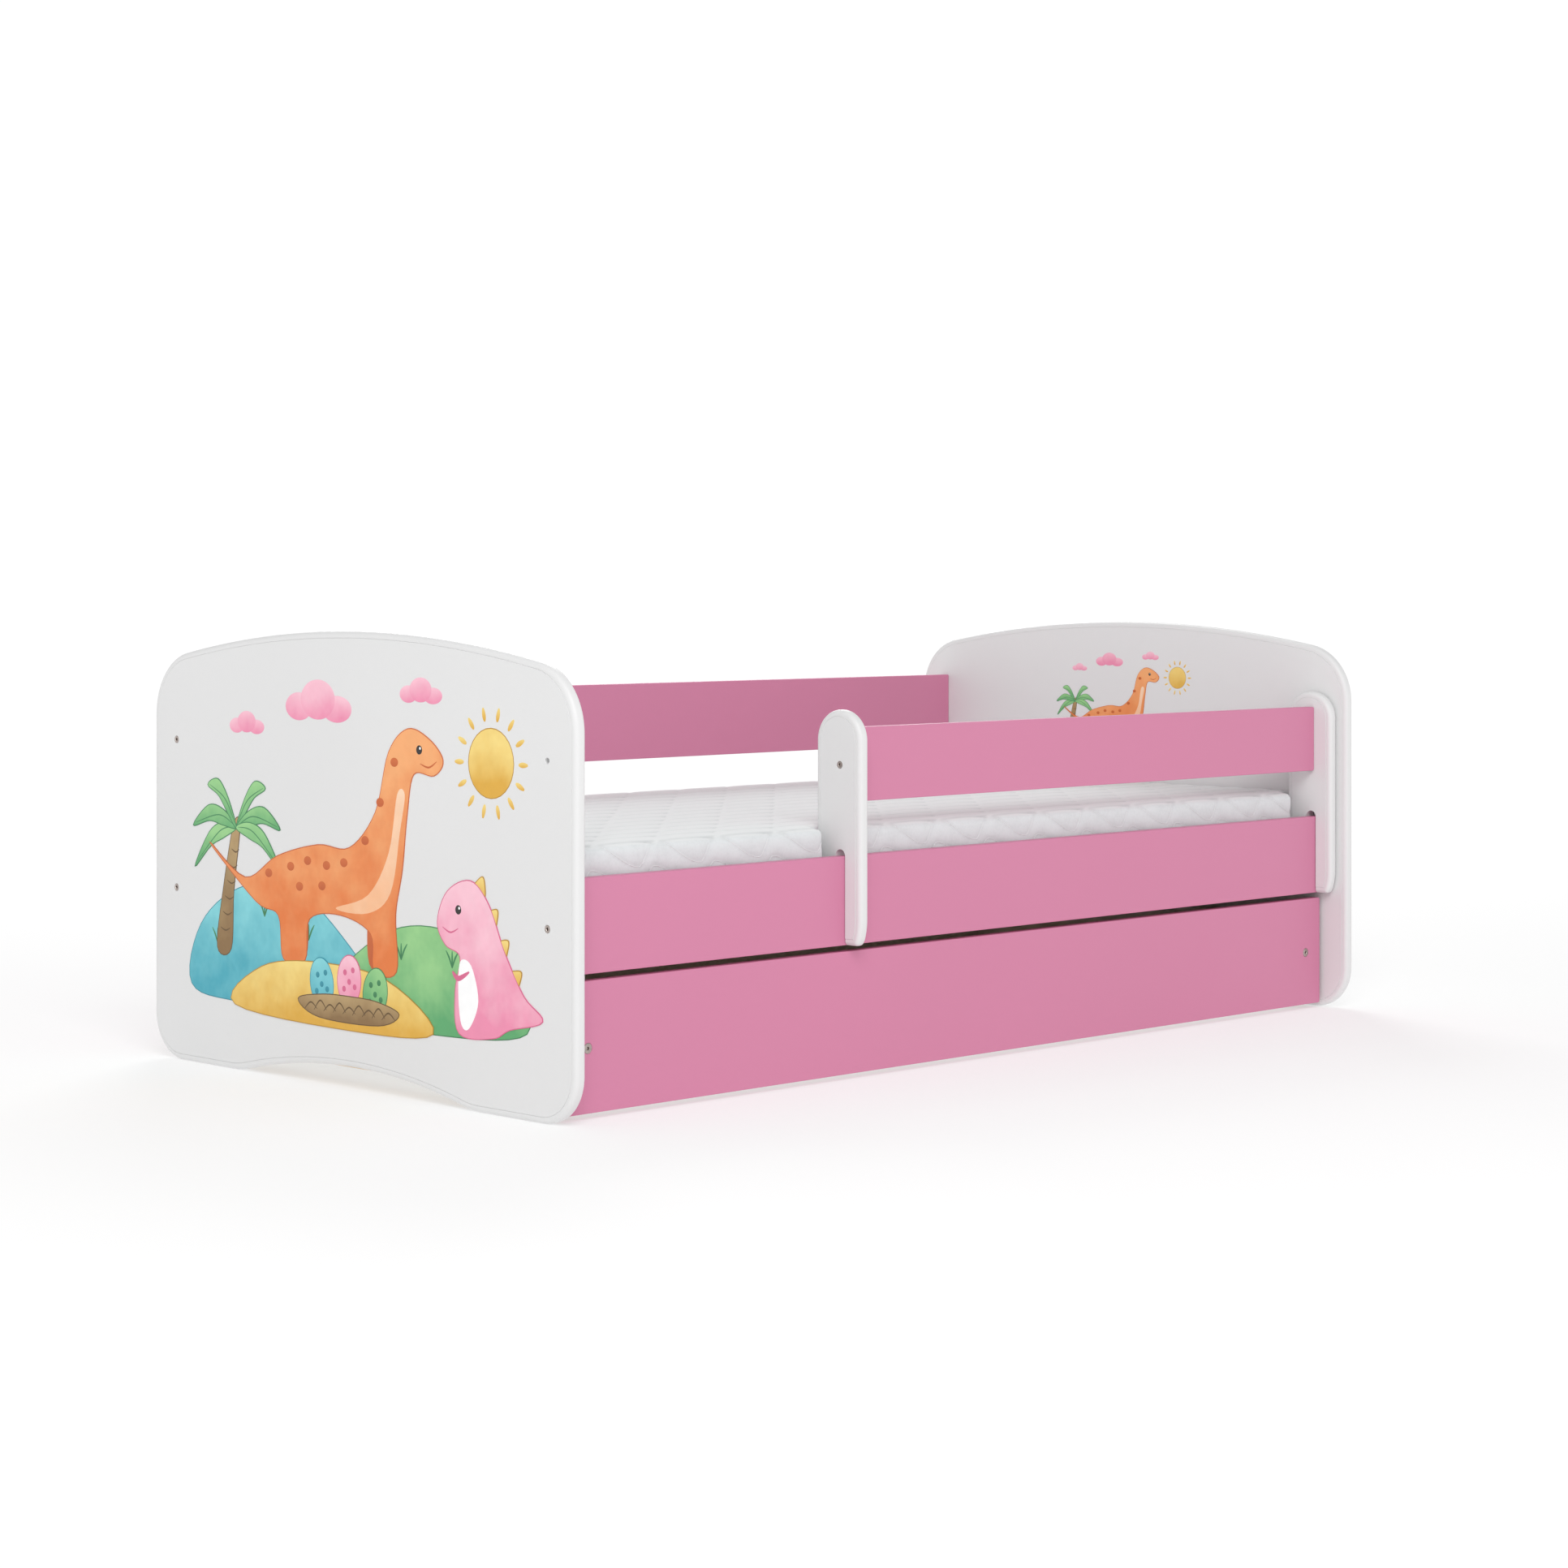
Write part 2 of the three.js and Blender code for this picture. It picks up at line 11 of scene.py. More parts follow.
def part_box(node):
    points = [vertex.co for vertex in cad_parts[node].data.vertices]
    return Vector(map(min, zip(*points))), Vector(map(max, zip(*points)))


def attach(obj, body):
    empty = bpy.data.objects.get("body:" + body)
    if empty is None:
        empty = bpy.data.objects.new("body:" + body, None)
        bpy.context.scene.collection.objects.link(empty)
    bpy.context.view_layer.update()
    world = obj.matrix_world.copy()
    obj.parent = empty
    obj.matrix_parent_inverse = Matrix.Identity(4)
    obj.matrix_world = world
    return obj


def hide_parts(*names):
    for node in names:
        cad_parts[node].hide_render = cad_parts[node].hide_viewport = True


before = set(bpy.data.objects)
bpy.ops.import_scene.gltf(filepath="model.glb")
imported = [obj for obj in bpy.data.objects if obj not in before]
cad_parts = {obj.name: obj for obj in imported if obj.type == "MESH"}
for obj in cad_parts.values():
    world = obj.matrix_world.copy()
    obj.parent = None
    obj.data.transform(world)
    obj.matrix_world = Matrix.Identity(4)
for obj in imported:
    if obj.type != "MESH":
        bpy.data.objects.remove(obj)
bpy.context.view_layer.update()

MM = 0.001
ENDS = (("foot", -1), ("head", 1))
RAILS = ("front_side_rail", "back_side_rail", "back_upper_rail")

CAMERA = {"place": (-3.4867, -3.4841, 0.6724), "heading": -45.0, "lens": 75.03, "shift_y": -0.127}


def make_camera():
    data = bpy.data.cameras.new("camera")
    data.lens = CAMERA["lens"]
    data.sensor_width = 36
    data.shift_y = CAMERA["shift_y"]
    data.clip_end = 100
    camera = bpy.data.objects.new("camera", data)
    camera.location = CAMERA["place"]
    camera.rotation_euler = (math.radians(90), 0, math.radians(CAMERA["heading"]))
    bpy.context.scene.collection.objects.link(camera)
    bpy.context.scene.camera = camera


# Materials


def set_inputs(node, values):
    for key, value in values.items():
        node.inputs[key].default_value = value


class Nodes:
    """A material's node tree with a Principled shader, and short calls to add nodes to it."""

    def __init__(self, name, roughness=0.5, metallic=0.0):
        self.material = bpy.data.materials.new(name)
        self.material.use_nodes = True
        self.tree = self.material.node_tree
        self.shader = self.tree.nodes["Principled BSDF"]
        set_inputs(self.shader, {"Roughness": roughness, "Metallic": metallic})
        self.place = self.add("ShaderNodeTexCoord").outputs["Object"]

    def add(self, kind, **settings):
        node = self.tree.nodes.new(kind)
        for key, value in settings.items():
            setattr(node, key, value)
        return node

    def link(self, source, target):
        self.tree.links.new(source, target)

    def stretched(self, scale):
        mapping = self.add("ShaderNodeMapping")
        set_inputs(mapping, {"Scale": scale})
        self.link(self.place, mapping.inputs["Vector"])
        return mapping.outputs["Vector"]

    def noise(self, scale, detail=2.0, roughness=0.5, vector=None, distortion=0.0):
        node = self.add("ShaderNodeTexNoise")
        values = {"Scale": scale, "Detail": detail, "Roughness": roughness, "Distortion": distortion}
        set_inputs(node, values)
        self.link(self.place if vector is None else vector, node.inputs["Vector"])
        return node.outputs["Fac"]

    def ramp(self, source, stops):
        node = self.add("ShaderNodeValToRGB")
        elements = node.color_ramp.elements
        while len(elements) < len(stops):
            elements.new(0.5)
        for element, (position, colour) in zip(elements, stops):
            element.position = position
            element.color = (*colour, 1)
        self.link(source, node.inputs["Fac"])
        return node.outputs["Color"]

    def remap(self, source, low, high, from_low=0.3, from_high=0.7):
        node = self.add("ShaderNodeMapRange")
        set_inputs(node, {"From Min": from_low, "From Max": from_high, "To Min": low, "To Max": high})
        self.link(source, node.inputs["Value"])
        return node.outputs["Result"]

    def math(self, operation, first, second):
        node = self.add("ShaderNodeMath", operation=operation)
        for slot, value in zip(node.inputs, (first, second)):
            if isinstance(value, (int, float)):
                slot.default_value = value
            else:
                self.link(value, slot)
        return node.outputs["Value"]

    def mix(self, factor, first, second, blend="MIX"):
        node = self.add("ShaderNodeMix", data_type="RGBA", blend_type=blend)
        if isinstance(factor, float):
            node.inputs["Factor"].default_value = factor
        else:
            self.link(factor, node.inputs["Factor"])
        sockets = [s for s in node.inputs if s.type == "RGBA"]
        for slot, value in zip(sockets, (first, second)):
            if isinstance(value, tuple):
                slot.default_value = (*value, 1)
            else:
                self.link(value, slot)
        return [s for s in node.outputs if s.type == "RGBA"][0]

    def bump(self, height, distance, strength=1.0, under=None):
        node = self.add("ShaderNodeBump")
        set_inputs(node, {"Strength": strength, "Distance": distance})
        self.link(height, node.inputs["Height"])
        if under is not None:
            self.link(under, node.inputs["Normal"])
        return node.outputs["Normal"]

    def weave(self, direction):
        """Fine waves across one axis, like the rows of a knitted cloth."""
        node = self.add("ShaderNodeTexWave", wave_type="BANDS", bands_direction=direction)
        set_inputs(node, {"Scale": 330, "Distortion": 1.5, "Detail": 1.0})
        self.link(self.place, node.inputs["Vector"])
        return node.outputs["Fac"]

    def finish(self, colour=None, roughness=None, normal=None):
        for source, name in ((colour, "Base Color"), (roughness, "Roughness"), (normal, "Normal")):
            if source is not None:
                self.link(source, self.shader.inputs[name])
        return self.material


def shade(colour, factor):
    return tuple(min(1.0, c * factor) for c in colour)


def lacquer(name, colour, roughness, peel=0.00006):
    """Sprayed lacquer on fibreboard: a faint orange peel, and cloudy changes of tone and gloss."""
    n = Nodes(name, roughness)
    cloud = n.noise(2.2, 3)
    tone = n.ramp(cloud, [(0.3, shade(colour, 0.985)), (0.7, shade(colour, 1.01))])
    gloss = n.remap(n.noise(9, 3), roughness - 0.04, roughness + 0.05)
    skin = n.bump(n.noise(420, 2), peel)
    set_inputs(n.shader, {"Specular IOR Level": 0.42})
    return n.finish(tone, gloss, skin)


def timber(name, light, dark, along, roughness=0.62):
    """Planed softwood with its grain along one axis."""
    n = Nodes(name, roughness)
    stretch = [42.0, 42.0, 42.0]
    stretch[along] = 2.4
    rings = n.noise(1.0, 5, 0.6, n.stretched(stretch), 0.6)
    fine = [420.0, 420.0, 420.0]
    fine[along] = 9.0
    pores = n.noise(1.0, 3, 0.7, n.stretched(fine))
    figure = n.math("ADD", n.math("MULTIPLY", rings, 0.75), n.math("MULTIPLY", pores, 0.25))
    tone = n.ramp(figure, [(0.36, dark), (0.5, light), (0.66, shade(light, 1.08))])
    gloss = n.remap(pores, roughness - 0.08, roughness + 0.1)
    return n.finish(tone, gloss, n.bump(pores, 0.00015))


def metal(name, colour, roughness, brushed):
    n = Nodes(name, roughness, 1.0)
    scratch = n.noise(1.0, 3, 0.6, n.stretched(brushed))
    tone = n.ramp(scratch, [(0.3, shade(colour, 0.8)), (0.7, shade(colour, 1.12))])
    gloss = n.remap(scratch, roughness - 0.08, roughness + 0.12)
    return n.finish(tone, gloss, n.bump(scratch, 0.00003))


def coated_steel(name, colour, roughness):
    n = Nodes(name, roughness)
    skin = n.noise(900, 2)
    tone = n.ramp(n.noise(14, 3), [(0.3, shade(colour, 0.96)), (0.7, colour)])
    return n.finish(tone, n.remap(skin, roughness - 0.05, roughness + 0.08), n.bump(skin, 0.00008))


def nylon(name, colour):
    n = Nodes(name, 0.4)
    tone = n.ramp(n.noise(60, 2), [(0.3, shade(colour, 0.95)), (0.7, colour)])
    set_inputs(n.shader, {"Subsurface Weight": 0.1, "Subsurface Radius": (0.002, 0.002, 0.0018)})
    return n.finish(tone, n.remap(n.noise(200, 2), 0.33, 0.48), n.bump(n.noise(300, 2), 0.00004))


def cover_cloth(name, top, side):
    """Knitted mattress cover: smooth on top, brushed and a little bluish on the sides, with painted shade
    darkening the creases.
    """
    n = Nodes(name, 0.88)
    normal = n.add("ShaderNodeNewGeometry").outputs["Normal"]
    split = n.add("ShaderNodeSeparateXYZ")
    n.link(normal, split.inputs["Vector"])
    upward = n.remap(split.outputs["Z"], 0, 1, 0.55, 0.85)
    nap = n.noise(230, 4, 0.7)
    blotch = n.noise(38, 4, 0.65)
    mottled = n.math("ADD", n.math("MULTIPLY", nap, 0.45), n.math("MULTIPLY", blotch, 0.55))
    side_tone = n.ramp(mottled, [(0.34, shade(side, 0.93)), (0.52, side), (0.7, shade(side, 1.04))])
    top_tone = n.ramp(nap, [(0.3, shade(top, 0.98)), (0.7, top)])
    cloth = n.mix(upward, side_tone, top_tone)
    crease = n.add("ShaderNodeAttribute", attribute_name="crease").outputs["Fac"]
    # Painted shade: the cloth colour is darkened towards a grey in the quilting's creases, by the crease
    # depth stored on the mattress mesh.
    crease_shaded = n.mix(n.remap(crease, 0, 1, 0.35, 1.1), cloth, shade(side, 0.8))
    knit = n.math("MULTIPLY", n.weave("X"), n.weave("Y"))
    relief = n.bump(mottled, 0.00012, 0.5, n.bump(knit, 0.0002, 0.5))
    set_inputs(n.shader, {"Sheen Weight": 0.2, "Sheen Roughness": 0.45, "Specular IOR Level": 0.2})
    return n.finish(crease_shaded, n.remap(nap, 0.82, 0.96), relief)


def make_materials():
    pine = ((0.72, 0.53, 0.31), (0.52, 0.34, 0.17))
    return {
        "white": lacquer("white_lacquer", (0.755, 0.755, 0.755), 0.42),
        "pink": lacquer("pink_lacquer", (0.636, 0.22, 0.361), 0.46),
        "drawer": lacquer("drawer_foil", (0.78, 0.77, 0.74), 0.5),
        "hardboard": lacquer("painted_hardboard", (0.76, 0.74, 0.69), 0.6, 0.0001),
        "pine_x": timber("softwood_lengthways", *pine, 0),
        "pine_y": timber("softwood_crossways", *pine, 1),
        "steel": metal("nickel_plate", (0.46, 0.4, 0.37), 0.34, (300, 300, 300)),
        "runner": coated_steel("powder_coat", (0.78, 0.78, 0.76), 0.42),
        "nylon": nylon("roller_nylon", (0.85, 0.85, 0.83)),
        "cover": cover_cloth("quilted_cover", (0.785, 0.8, 0.802), (0.712, 0.735, 0.745)),
        "ink": printed_ink(),
        "thread": cover_cloth("cover_thread", (0.82, 0.82, 0.82), (0.8, 0.8, 0.81)),
    }


# Meshes


def new_piece(name, bm, material, smooth_angle=32):
    """A mesh object with smooth shading that breaks at edges sharper than the angle."""
    mesh = bpy.data.meshes.new(name)
    bmesh.ops.recalc_face_normals(bm, faces=bm.faces)
    bm.to_mesh(mesh)
    bm.free()
    mesh.materials.append(material)
    mesh.shade_smooth()
    mesh.set_sharp_from_angle(angle=math.radians(smooth_angle))
    piece = bpy.data.objects.new(name, mesh)
    bpy.context.scene.collection.objects.link(piece)
    return piece


def weigh_normals(piece):
    """Keeps wide flat faces flat beside their rounded edges."""
    weighted = piece.modifiers.new("even_shading", "WEIGHTED_NORMAL")
    weighted.keep_sharp = True
    weighted.weight = 100


def arc(centre_u, centre_v, radius, start, end, steps):
    turns = [start + (end - start) * i / steps for i in range(steps + 1)]
    return [(centre_u + radius * math.cos(t), centre_v + radius * math.sin(t)) for t in turns]


def rounded_rectangle(low_u, low_v, high_u, high_v, radius, steps=6):
    quarter = math.pi / 2
    return [
        *arc(high_u - radius, low_v + radius, radius, -quarter, 0, steps),
        *arc(high_u - radius, high_v - radius, radius, 0, quarter, steps),
        *arc(low_u + radius, high_v - radius, radius, quarter, math.pi, steps),
        *arc(low_u + radius, low_v + radius, radius, math.pi, 3 * quarter, steps),
    ]


def inset(outline, distance):
    """The outline moved inwards. It runs anticlockwise. Corners tighter than the distance become sharp."""
    points = np.array(outline)
    ahead = np.roll(points, -1, 0) - points
    ahead /= np.linalg.norm(ahead, axis=1)[:, None]
    behind = np.roll(ahead, 1, 0)
    inward = np.stack([-(ahead + behind)[:, 1], (ahead + behind)[:, 0]], 1)
    inward /= np.linalg.norm(inward, axis=1)[:, None]
    stretch = 1 / np.maximum(0.5, -inward[:, 0] * ahead[:, 1] + inward[:, 1] * ahead[:, 0])
    moved = points + inward * (distance * stretch)[:, None]
    for _ in range(6):
        runs = np.roll(moved, -1, 0) - moved
        folded = (runs * ahead).sum(1) <= 0
        if not folded.any():
            break
        moved = sharpen(moved, ahead, folded)
    return moved


def sharpen(points, directions, folded):
    """Gathers each folded run of a closed line where its two neighbours meet."""
    count = len(points)
    result = points.copy()
    for start in np.flatnonzero(folded & ~np.roll(folded, 1)):
        length = 1
        while folded[(start + length) % count]:
            length += 1
        before, after = directions[start - 1], directions[(start + length) % count]
        first, last = points[start], points[(start + length) % count]
        gap = last - first
        turn = before[0] * after[1] - before[1] * after[0]
        meeting = first + before * ((gap[0] * after[1] - gap[1] * after[0]) / turn)
        for i in range(length + 1):
            slip = (i - length / 2) * 0.01 * MM
            result[(start + i) % count] = meeting + (before if slip < 0 else after) * slip
    return result


def round_profile(radius, steps=6):
    """A quarter-round edge: pairs of inset and depth, from the face out to the rim."""
    turns = [math.pi / 2 * i / steps for i in range(steps + 1)]
    return [(radius * (1 - math.sin(t)), radius * (1 - math.cos(t))) for t in turns]


def shouldered_profile(lip, step, groove, radius, steps=8):
    """A fine groove round the face, a narrow sunk lip, and a rounded edge."""
    edge = radius + lip
    floor = step * 2
    return [
        (edge, 0), (edge - groove * 0.3, floor), (edge - groove * 0.6, floor), (edge - groove, step),
        *((i, step + d) for i, d in round_profile(radius, steps)),
    ]


def with_supports(outline, reach=1.5 * MM, least=8 * MM):
    """The outline with a point close to each end of its long runs, to keep their shading flat."""
    points = [np.array(p) for p in outline]
    result = []
    for here, after in zip(points, points[1:] + points[:1]):
        result.append(here)
        run = np.linalg.norm(after - here)
        if run > least:
            step = (after - here) * (reach / run)
            result += [here + step, after - step]
    return [tuple(p) for p in result]


def slab(outline, axis, low, high, profile):
    """A board: an outline across one axis, and both its rims shaped by a profile of (inset, depth)."""
    bm = bmesh.new()
    rings = [(low + depth, inset(outline, i)) for i, depth in profile]
    rings += [(high - depth, inset(outline, i)) for i, depth in reversed(profile)]
    loops = []
    for along, points in rings:
        corners = [np.roll((along, *p), axis) for p in points]
        loops.append([bm.verts.new(c) for c in corners])
    for first, second in zip(loops, loops[1:]):
        join_rings(bm, first, second)
    bm.faces.new(list(reversed(loops[0])))
    bm.faces.new(loops[-1])
    return bm


def drill(piece, tools):
    """Cuts the tools out of the piece and removes them."""
    for tool in tools:
        modifier = piece.modifiers.new("hole", "BOOLEAN")
        modifier.operation = "DIFFERENCE"
        modifier.solver = "EXACT"
        modifier.object = tool
    graph = bpy.context.evaluated_depsgraph_get()
    cut = bpy.data.meshes.new_from_object(piece.evaluated_get(graph))
    cut.name = piece.data.name
    piece.modifiers.clear()
    piece.data = cut
    for tool in tools:
        bpy.data.objects.remove(tool)
    cut.set_sharp_from_angle(angle=math.radians(32))


def turned(profile, steps=48):
    """A body of revolution about X, from (along, radius) pairs, closed where the radius is zero."""
    bm = bmesh.new()
    rings = []
    for along, radius in profile:
        if radius == 0:
            rings.append([bm.verts.new((along, 0, 0))])
            continue
        turns = [2 * math.pi * i / steps for i in range(steps)]
        rings.append([bm.verts.new((along, radius * math.cos(t), radius * math.sin(t))) for t in turns])
    for first, second in zip(rings, rings[1:]):
        join_rings(bm, first, second)
    return bm


def join_rings(bm, first, second):
    """Faces between two closed rings of as many points, or between a ring and one point."""
    count = max(len(first), len(second))
    for i in range(count):
        here, after = ([ring[k % len(ring)] for ring in (first, second)] for k in (i, (i + 1) % count))
        bm.faces.new(dict.fromkeys([here[0], after[0], after[1], here[1]]))


# Boards

PANEL = {
    "top_radius": 2.14, "top_corner": 0.09, "foot_corner": 0.065, "arch_radius": 1.055, "arch_rise": 0.03,
    "arch_blend": 0.15,
}
EDGE = {"lip": 3.2 * MM, "step": 0.45 * MM, "groove": 0.9 * MM, "radius": 6.2 * MM}
BOARD_RADIUS = 3 * MM
SCREW = {"proud": 0.2 * MM, "socket": 2.3 * MM}


def panel_outline(half, height):
    """The outline of an end panel: from the arch between its feet round to the top, and mirrored."""
    top_centre = height - PANEL["top_radius"]
    corner = half - PANEL["top_corner"]
    reach = PANEL["top_radius"] - PANEL["top_corner"]
    corner_height = top_centre + math.sqrt(reach**2 - corner**2)
    top_angle = math.acos(corner / reach)
    arch_centre = PANEL["arch_rise"] - PANEL["arch_radius"]
    blend = PANEL["arch_blend"]
    blend_reach = PANEL["arch_radius"] + blend
    blend_y = math.sqrt(blend_reach**2 - (blend - arch_centre) ** 2)
    arch_angle = math.acos(blend_y / blend_reach)
    foot = half - PANEL["foot_corner"]
    quarter = math.pi / 2
    back = [
        *arc(0, arch_centre, PANEL["arch_radius"], quarter, arch_angle, 24),
        *arc(blend_y, blend, blend, math.pi + arch_angle, 3 * quarter, 8)[1:],
        *arc(foot, PANEL["foot_corner"], PANEL["foot_corner"], -quarter, 0, 20),
        *arc(corner, corner_height, PANEL["top_corner"], 0, top_angle, 22),
        *arc(0, top_centre, PANEL["top_radius"], top_angle, quarter, 30)[1:],
    ]
    return back + [(-y, z) for y, z in reversed(back[1:-1])]


def screw_places():
    """Where each furniture screw enters: its node, its face point and its direction."""
    places = []
    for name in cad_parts:
        if "_screw_" not in name:
            continue
        low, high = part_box(name)
        size = high - low
        axis = max(range(3), key=lambda i: size[i])
        middle = (low + high) / 2
        if axis == 1:
            direction = Vector((0, 1, 0))
        else:
            direction = Vector((1 if name.endswith(("middle", "foot")) else -1, 0, 0))
        entry = middle - direction * (size[axis] / 2)
        radius = size[(axis + 1) % 3] / 2
        places.append((name, entry, direction, radius))
    return places


def hole_tool(entry, direction, radius, depth):
    """A cutter for a drilled hole with a slightly broken mouth."""
    mouth, outside = 0.5 * MM, -4 * MM
    wide = radius + mouth
    bm = turned([(outside, 0), (outside, wide), (0, wide), (mouth, radius), (depth, radius), (depth, 0)])
    tool = new_piece("hole_tool", bm, materials["white"])
    tool.matrix_world = Matrix.Translation(entry) @ direction.to_track_quat("X", "Z").to_matrix().to_4x4()
    bpy.context.view_layer.update()
    return tool


def screw_holes(nodes):
    """Cutters for the sinkings that the heads of some screws sit in."""
    play, depth = 0.15 * MM, 8 * MM
    return [
        hole_tool(entry - direction * SCREW["proud"], direction, radius + play, depth)
        for screw, entry, direction, radius in SCREWS if screw in nodes
    ]


def end_panel(name, side):
    node = f"{name}_end_panel"
    low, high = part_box(node)
    profile = shouldered_profile(**EDGE)
    outline = with_supports(panel_outline(high.y, high.z))
    piece = new_piece(f"{name}_panel_board", slab(outline, 0, low.x, high.x, profile), materials["white"])
    outer = low.x if side < 0 else high.x
    inward = Vector((-side, 0, 0))
    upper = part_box("back_upper_rail")
    spare = Vector((outer, -(upper[0].y + upper[1].y) / 2, (upper[0].z + upper[1].z) / 2))
    spare_hole = hole_tool(spare, inward, 3.8 * MM, 30 * MM)
    drill(piece, [spare_hole, *screw_holes([f"{rail}_screw_{name}" for rail in RAILS])])
    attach(piece, "frame")
    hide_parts(node)


def board(node, axis, material, body, radius=BOARD_RADIUS, end_radius=0.6 * MM, holes=()):
    """A board along one axis, in the place of its CAD node, with rounded corners and softened rims."""
    low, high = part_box(node)
    u, v = [(axis + 1) % 3, (axis + 2) % 3]
    outline = rounded_rectangle(low[u], low[v], high[u], high[v], radius)
    bm = slab(outline, axis, low[axis], high[axis], round_profile(end_radius, 4))
    piece = new_piece(f"{node}_board", bm, materials[material])
    if holes:
        drill(piece, holes)
    weigh_normals(piece)
    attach(piece, body)
    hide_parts(node)
    return piece


def drawer_front():
    holes = screw_holes([f"drawer_front_screw_{end}" for end, _ in ENDS])
    board("drawer_front", 1, "pink", "drawer", BOARD_RADIUS, 1.2 * MM, holes)


# Guard posts

POST = {"taper_height": 0.036, "taper_radius": 0.09, "taper_angle": 0.366, "toe": 0.007}
SLOT_WIDTH = 18 * MM


def post_outline(low, high):
    half = (high.y - low.y) / 2
    middle = (high.y + low.y) / 2
    taper_top = low.z + POST["taper_height"]
    radius = POST["taper_radius"]
    taper = arc(low.y + radius, taper_top, radius, math.pi, math.pi + POST["taper_angle"], 8)
    toe_radius = POST["toe"]
    toe_start = math.pi + POST["taper_angle"]
    toe = arc(taper[-1][0] + toe_radius, low.z + toe_radius, toe_radius, toe_start, 1.5 * math.pi, 5)
    return [(high.y, low.z), *arc(middle, high.z - half, half, 0, math.pi, 40), *taper[:-1], *toe]


def block_tool(low, high):
    """A cutter with flat faces."""
    bm = bmesh.new()
    bmesh.ops.create_cube(bm, size=1)
    bmesh.ops.scale(bm, vec=high - low, verts=bm.verts)
    bmesh.ops.translate(bm, vec=(low + high) / 2, verts=bm.verts)
    return new_piece("block_tool", bm, materials["white"])


def guard_post(name):
    node = f"guard_post_{name}"
    low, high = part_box(node)
    rail_low, rail_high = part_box("front_side_rail")
    rail_middle = (rail_low.y + rail_high.y) / 2
    half_slot = SLOT_WIDTH / 2
    below = low.z - 0.01
    spare = 0.005
    slot_outline = [
        (rail_middle - half_slot, below), (rail_middle + half_slot, below),
        *arc(rail_middle, rail_high.z, half_slot, 0, math.pi, 24),
    ]
    slot_bm = slab(slot_outline, 0, low.x - spare, high.x + spare, [(0, 0)])
    inner_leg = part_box("slat_batten_front")[1].z + 0.3 * MM
    outline = with_supports(post_outline(low, high))
    post_bm = slab(outline, 0, low.x, high.x, shouldered_profile(**EDGE))
    post = new_piece(f"{node}_board", post_bm, materials["white"])
    slot_tool = new_piece("slot_tool", slot_bm, materials["white"])
    leg_low = Vector((low.x - spare, rail_middle, below))
    leg_high = Vector((high.x + spare, high.y + spare, inner_leg))
    drill(post, [slot_tool, block_tool(leg_low, leg_high), *screw_holes([f"guard_screw_{name}"])])
    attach(post, "guard")
    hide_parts(node)


# Fasteners and runners


def screw_mesh(radius, length):
    """A flat-headed furniture screw with a hexagon socket and a coarse thread, from its face inwards."""
    steps = 48
    face, rim, neck, core, crest = 0, 0.35 * MM, 3.5 * MM, 2.1 * MM, 2.9 * MM
    bm = turned([
        (face, radius - rim), (rim * 0.3, radius - rim * 0.3), (rim, radius), (1.2 * MM, radius),
        (4 * MM, neck), (18 * MM, neck), (19.5 * MM, core),
        *thread_profile(20 * MM, length - 4 * MM, 3 * MM, core, crest),
        (length - 3 * MM, core), (length, 0),
    ], steps)
    bm.verts.ensure_lookup_table()
    head = bm.verts[:steps]
    sector = math.pi / 3
    size = SCREW["socket"]
    outer = head
    for depth, reach in ((0, size + 0.3 * MM), (0.4 * MM, size), (3 * MM, size)):
        ring = []
        for i in range(steps):
            turn = 2 * math.pi * i / steps
            flat = reach * math.cos(sector / 2) / math.cos((turn % sector) - sector / 2)
            ring.append(bm.verts.new((depth, flat * math.cos(turn), flat * math.sin(turn))))
        join_rings(bm, ring, outer)
        outer = ring
    join_rings(bm, [bm.verts.new((4.2 * MM, 0, 0))], outer)
    return bm


def thread_profile(start, end, pitch, core, crest):
    points = []
    turns = int((end - start) / pitch)
    for i in range(turns):
        at = start + i * pitch
        shape = ((0, core), (0.42, core), (0.55, crest), (0.68, core))
        points += [(at + pitch * along, radius) for along, radius in shape]
    return points


def screws():
    """The screws, which share one mesh for each size of head."""
    length = 49.8 * MM
    masters = {}
    for name, entry, direction, radius in SCREWS:
        key = round(radius, 4)
        if key not in masters:
            master = new_piece("screw_master", screw_mesh(radius, length), materials["steel"], 25)
            masters[key] = master.data
            bpy.data.objects.remove(master)
        piece = bpy.data.objects.new(f"{name}_turned", masters[key])
        bpy.context.scene.collection.objects.link(piece)
        turn = direction.to_track_quat("X", "Z").to_matrix().to_4x4()
        piece.matrix_world = Matrix.Translation(entry) @ turn
        body = "guard" if name.startswith("guard") else "drawer" if name.startswith("drawer") else "frame"
        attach(piece, body)
        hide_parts(name)


def rollers():
    """Moulded wheels with a rim, a sunk web and a hub, on the rivets of the runners."""
    for node in [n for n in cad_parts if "_roller_" in n]:
        low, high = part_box(node)
        width, radius, bore, hub = high.x - low.x, (high.z - low.z) / 2, 2.8 * MM, 4.6 * MM
        web = width * 0.28
        rim = radius - 2.2 * MM
        half = [(0, bore), (0, hub), (web, hub + 0.7 * MM), (web, rim - 0.5 * MM), (0.3 * MM, rim)]
        tread = [(0, radius - 1.1 * MM), (0.4 * MM, radius - 0.3 * MM), (1.1 * MM, radius)]
        near = half + tread
        far = [(width - along, r) for along, r in reversed(near)]
        bm = turned([*near, *far, (0, bore)], 64)
        bmesh.ops.remove_doubles(bm, verts=bm.verts, dist=1e-6)
        piece = new_piece(f"{node}_wheel", bm, materials["nylon"], 40)
        piece.matrix_world = Matrix.Translation((low.x, (low.y + high.y) / 2, (low.z + high.z) / 2))
        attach(piece, node)
        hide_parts(node)


def dress(node, material):
    """Gives a CAD node that stays in the picture its material."""
    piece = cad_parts[node]
    piece.data.materials.clear()
    piece.data.materials.append(materials[material])


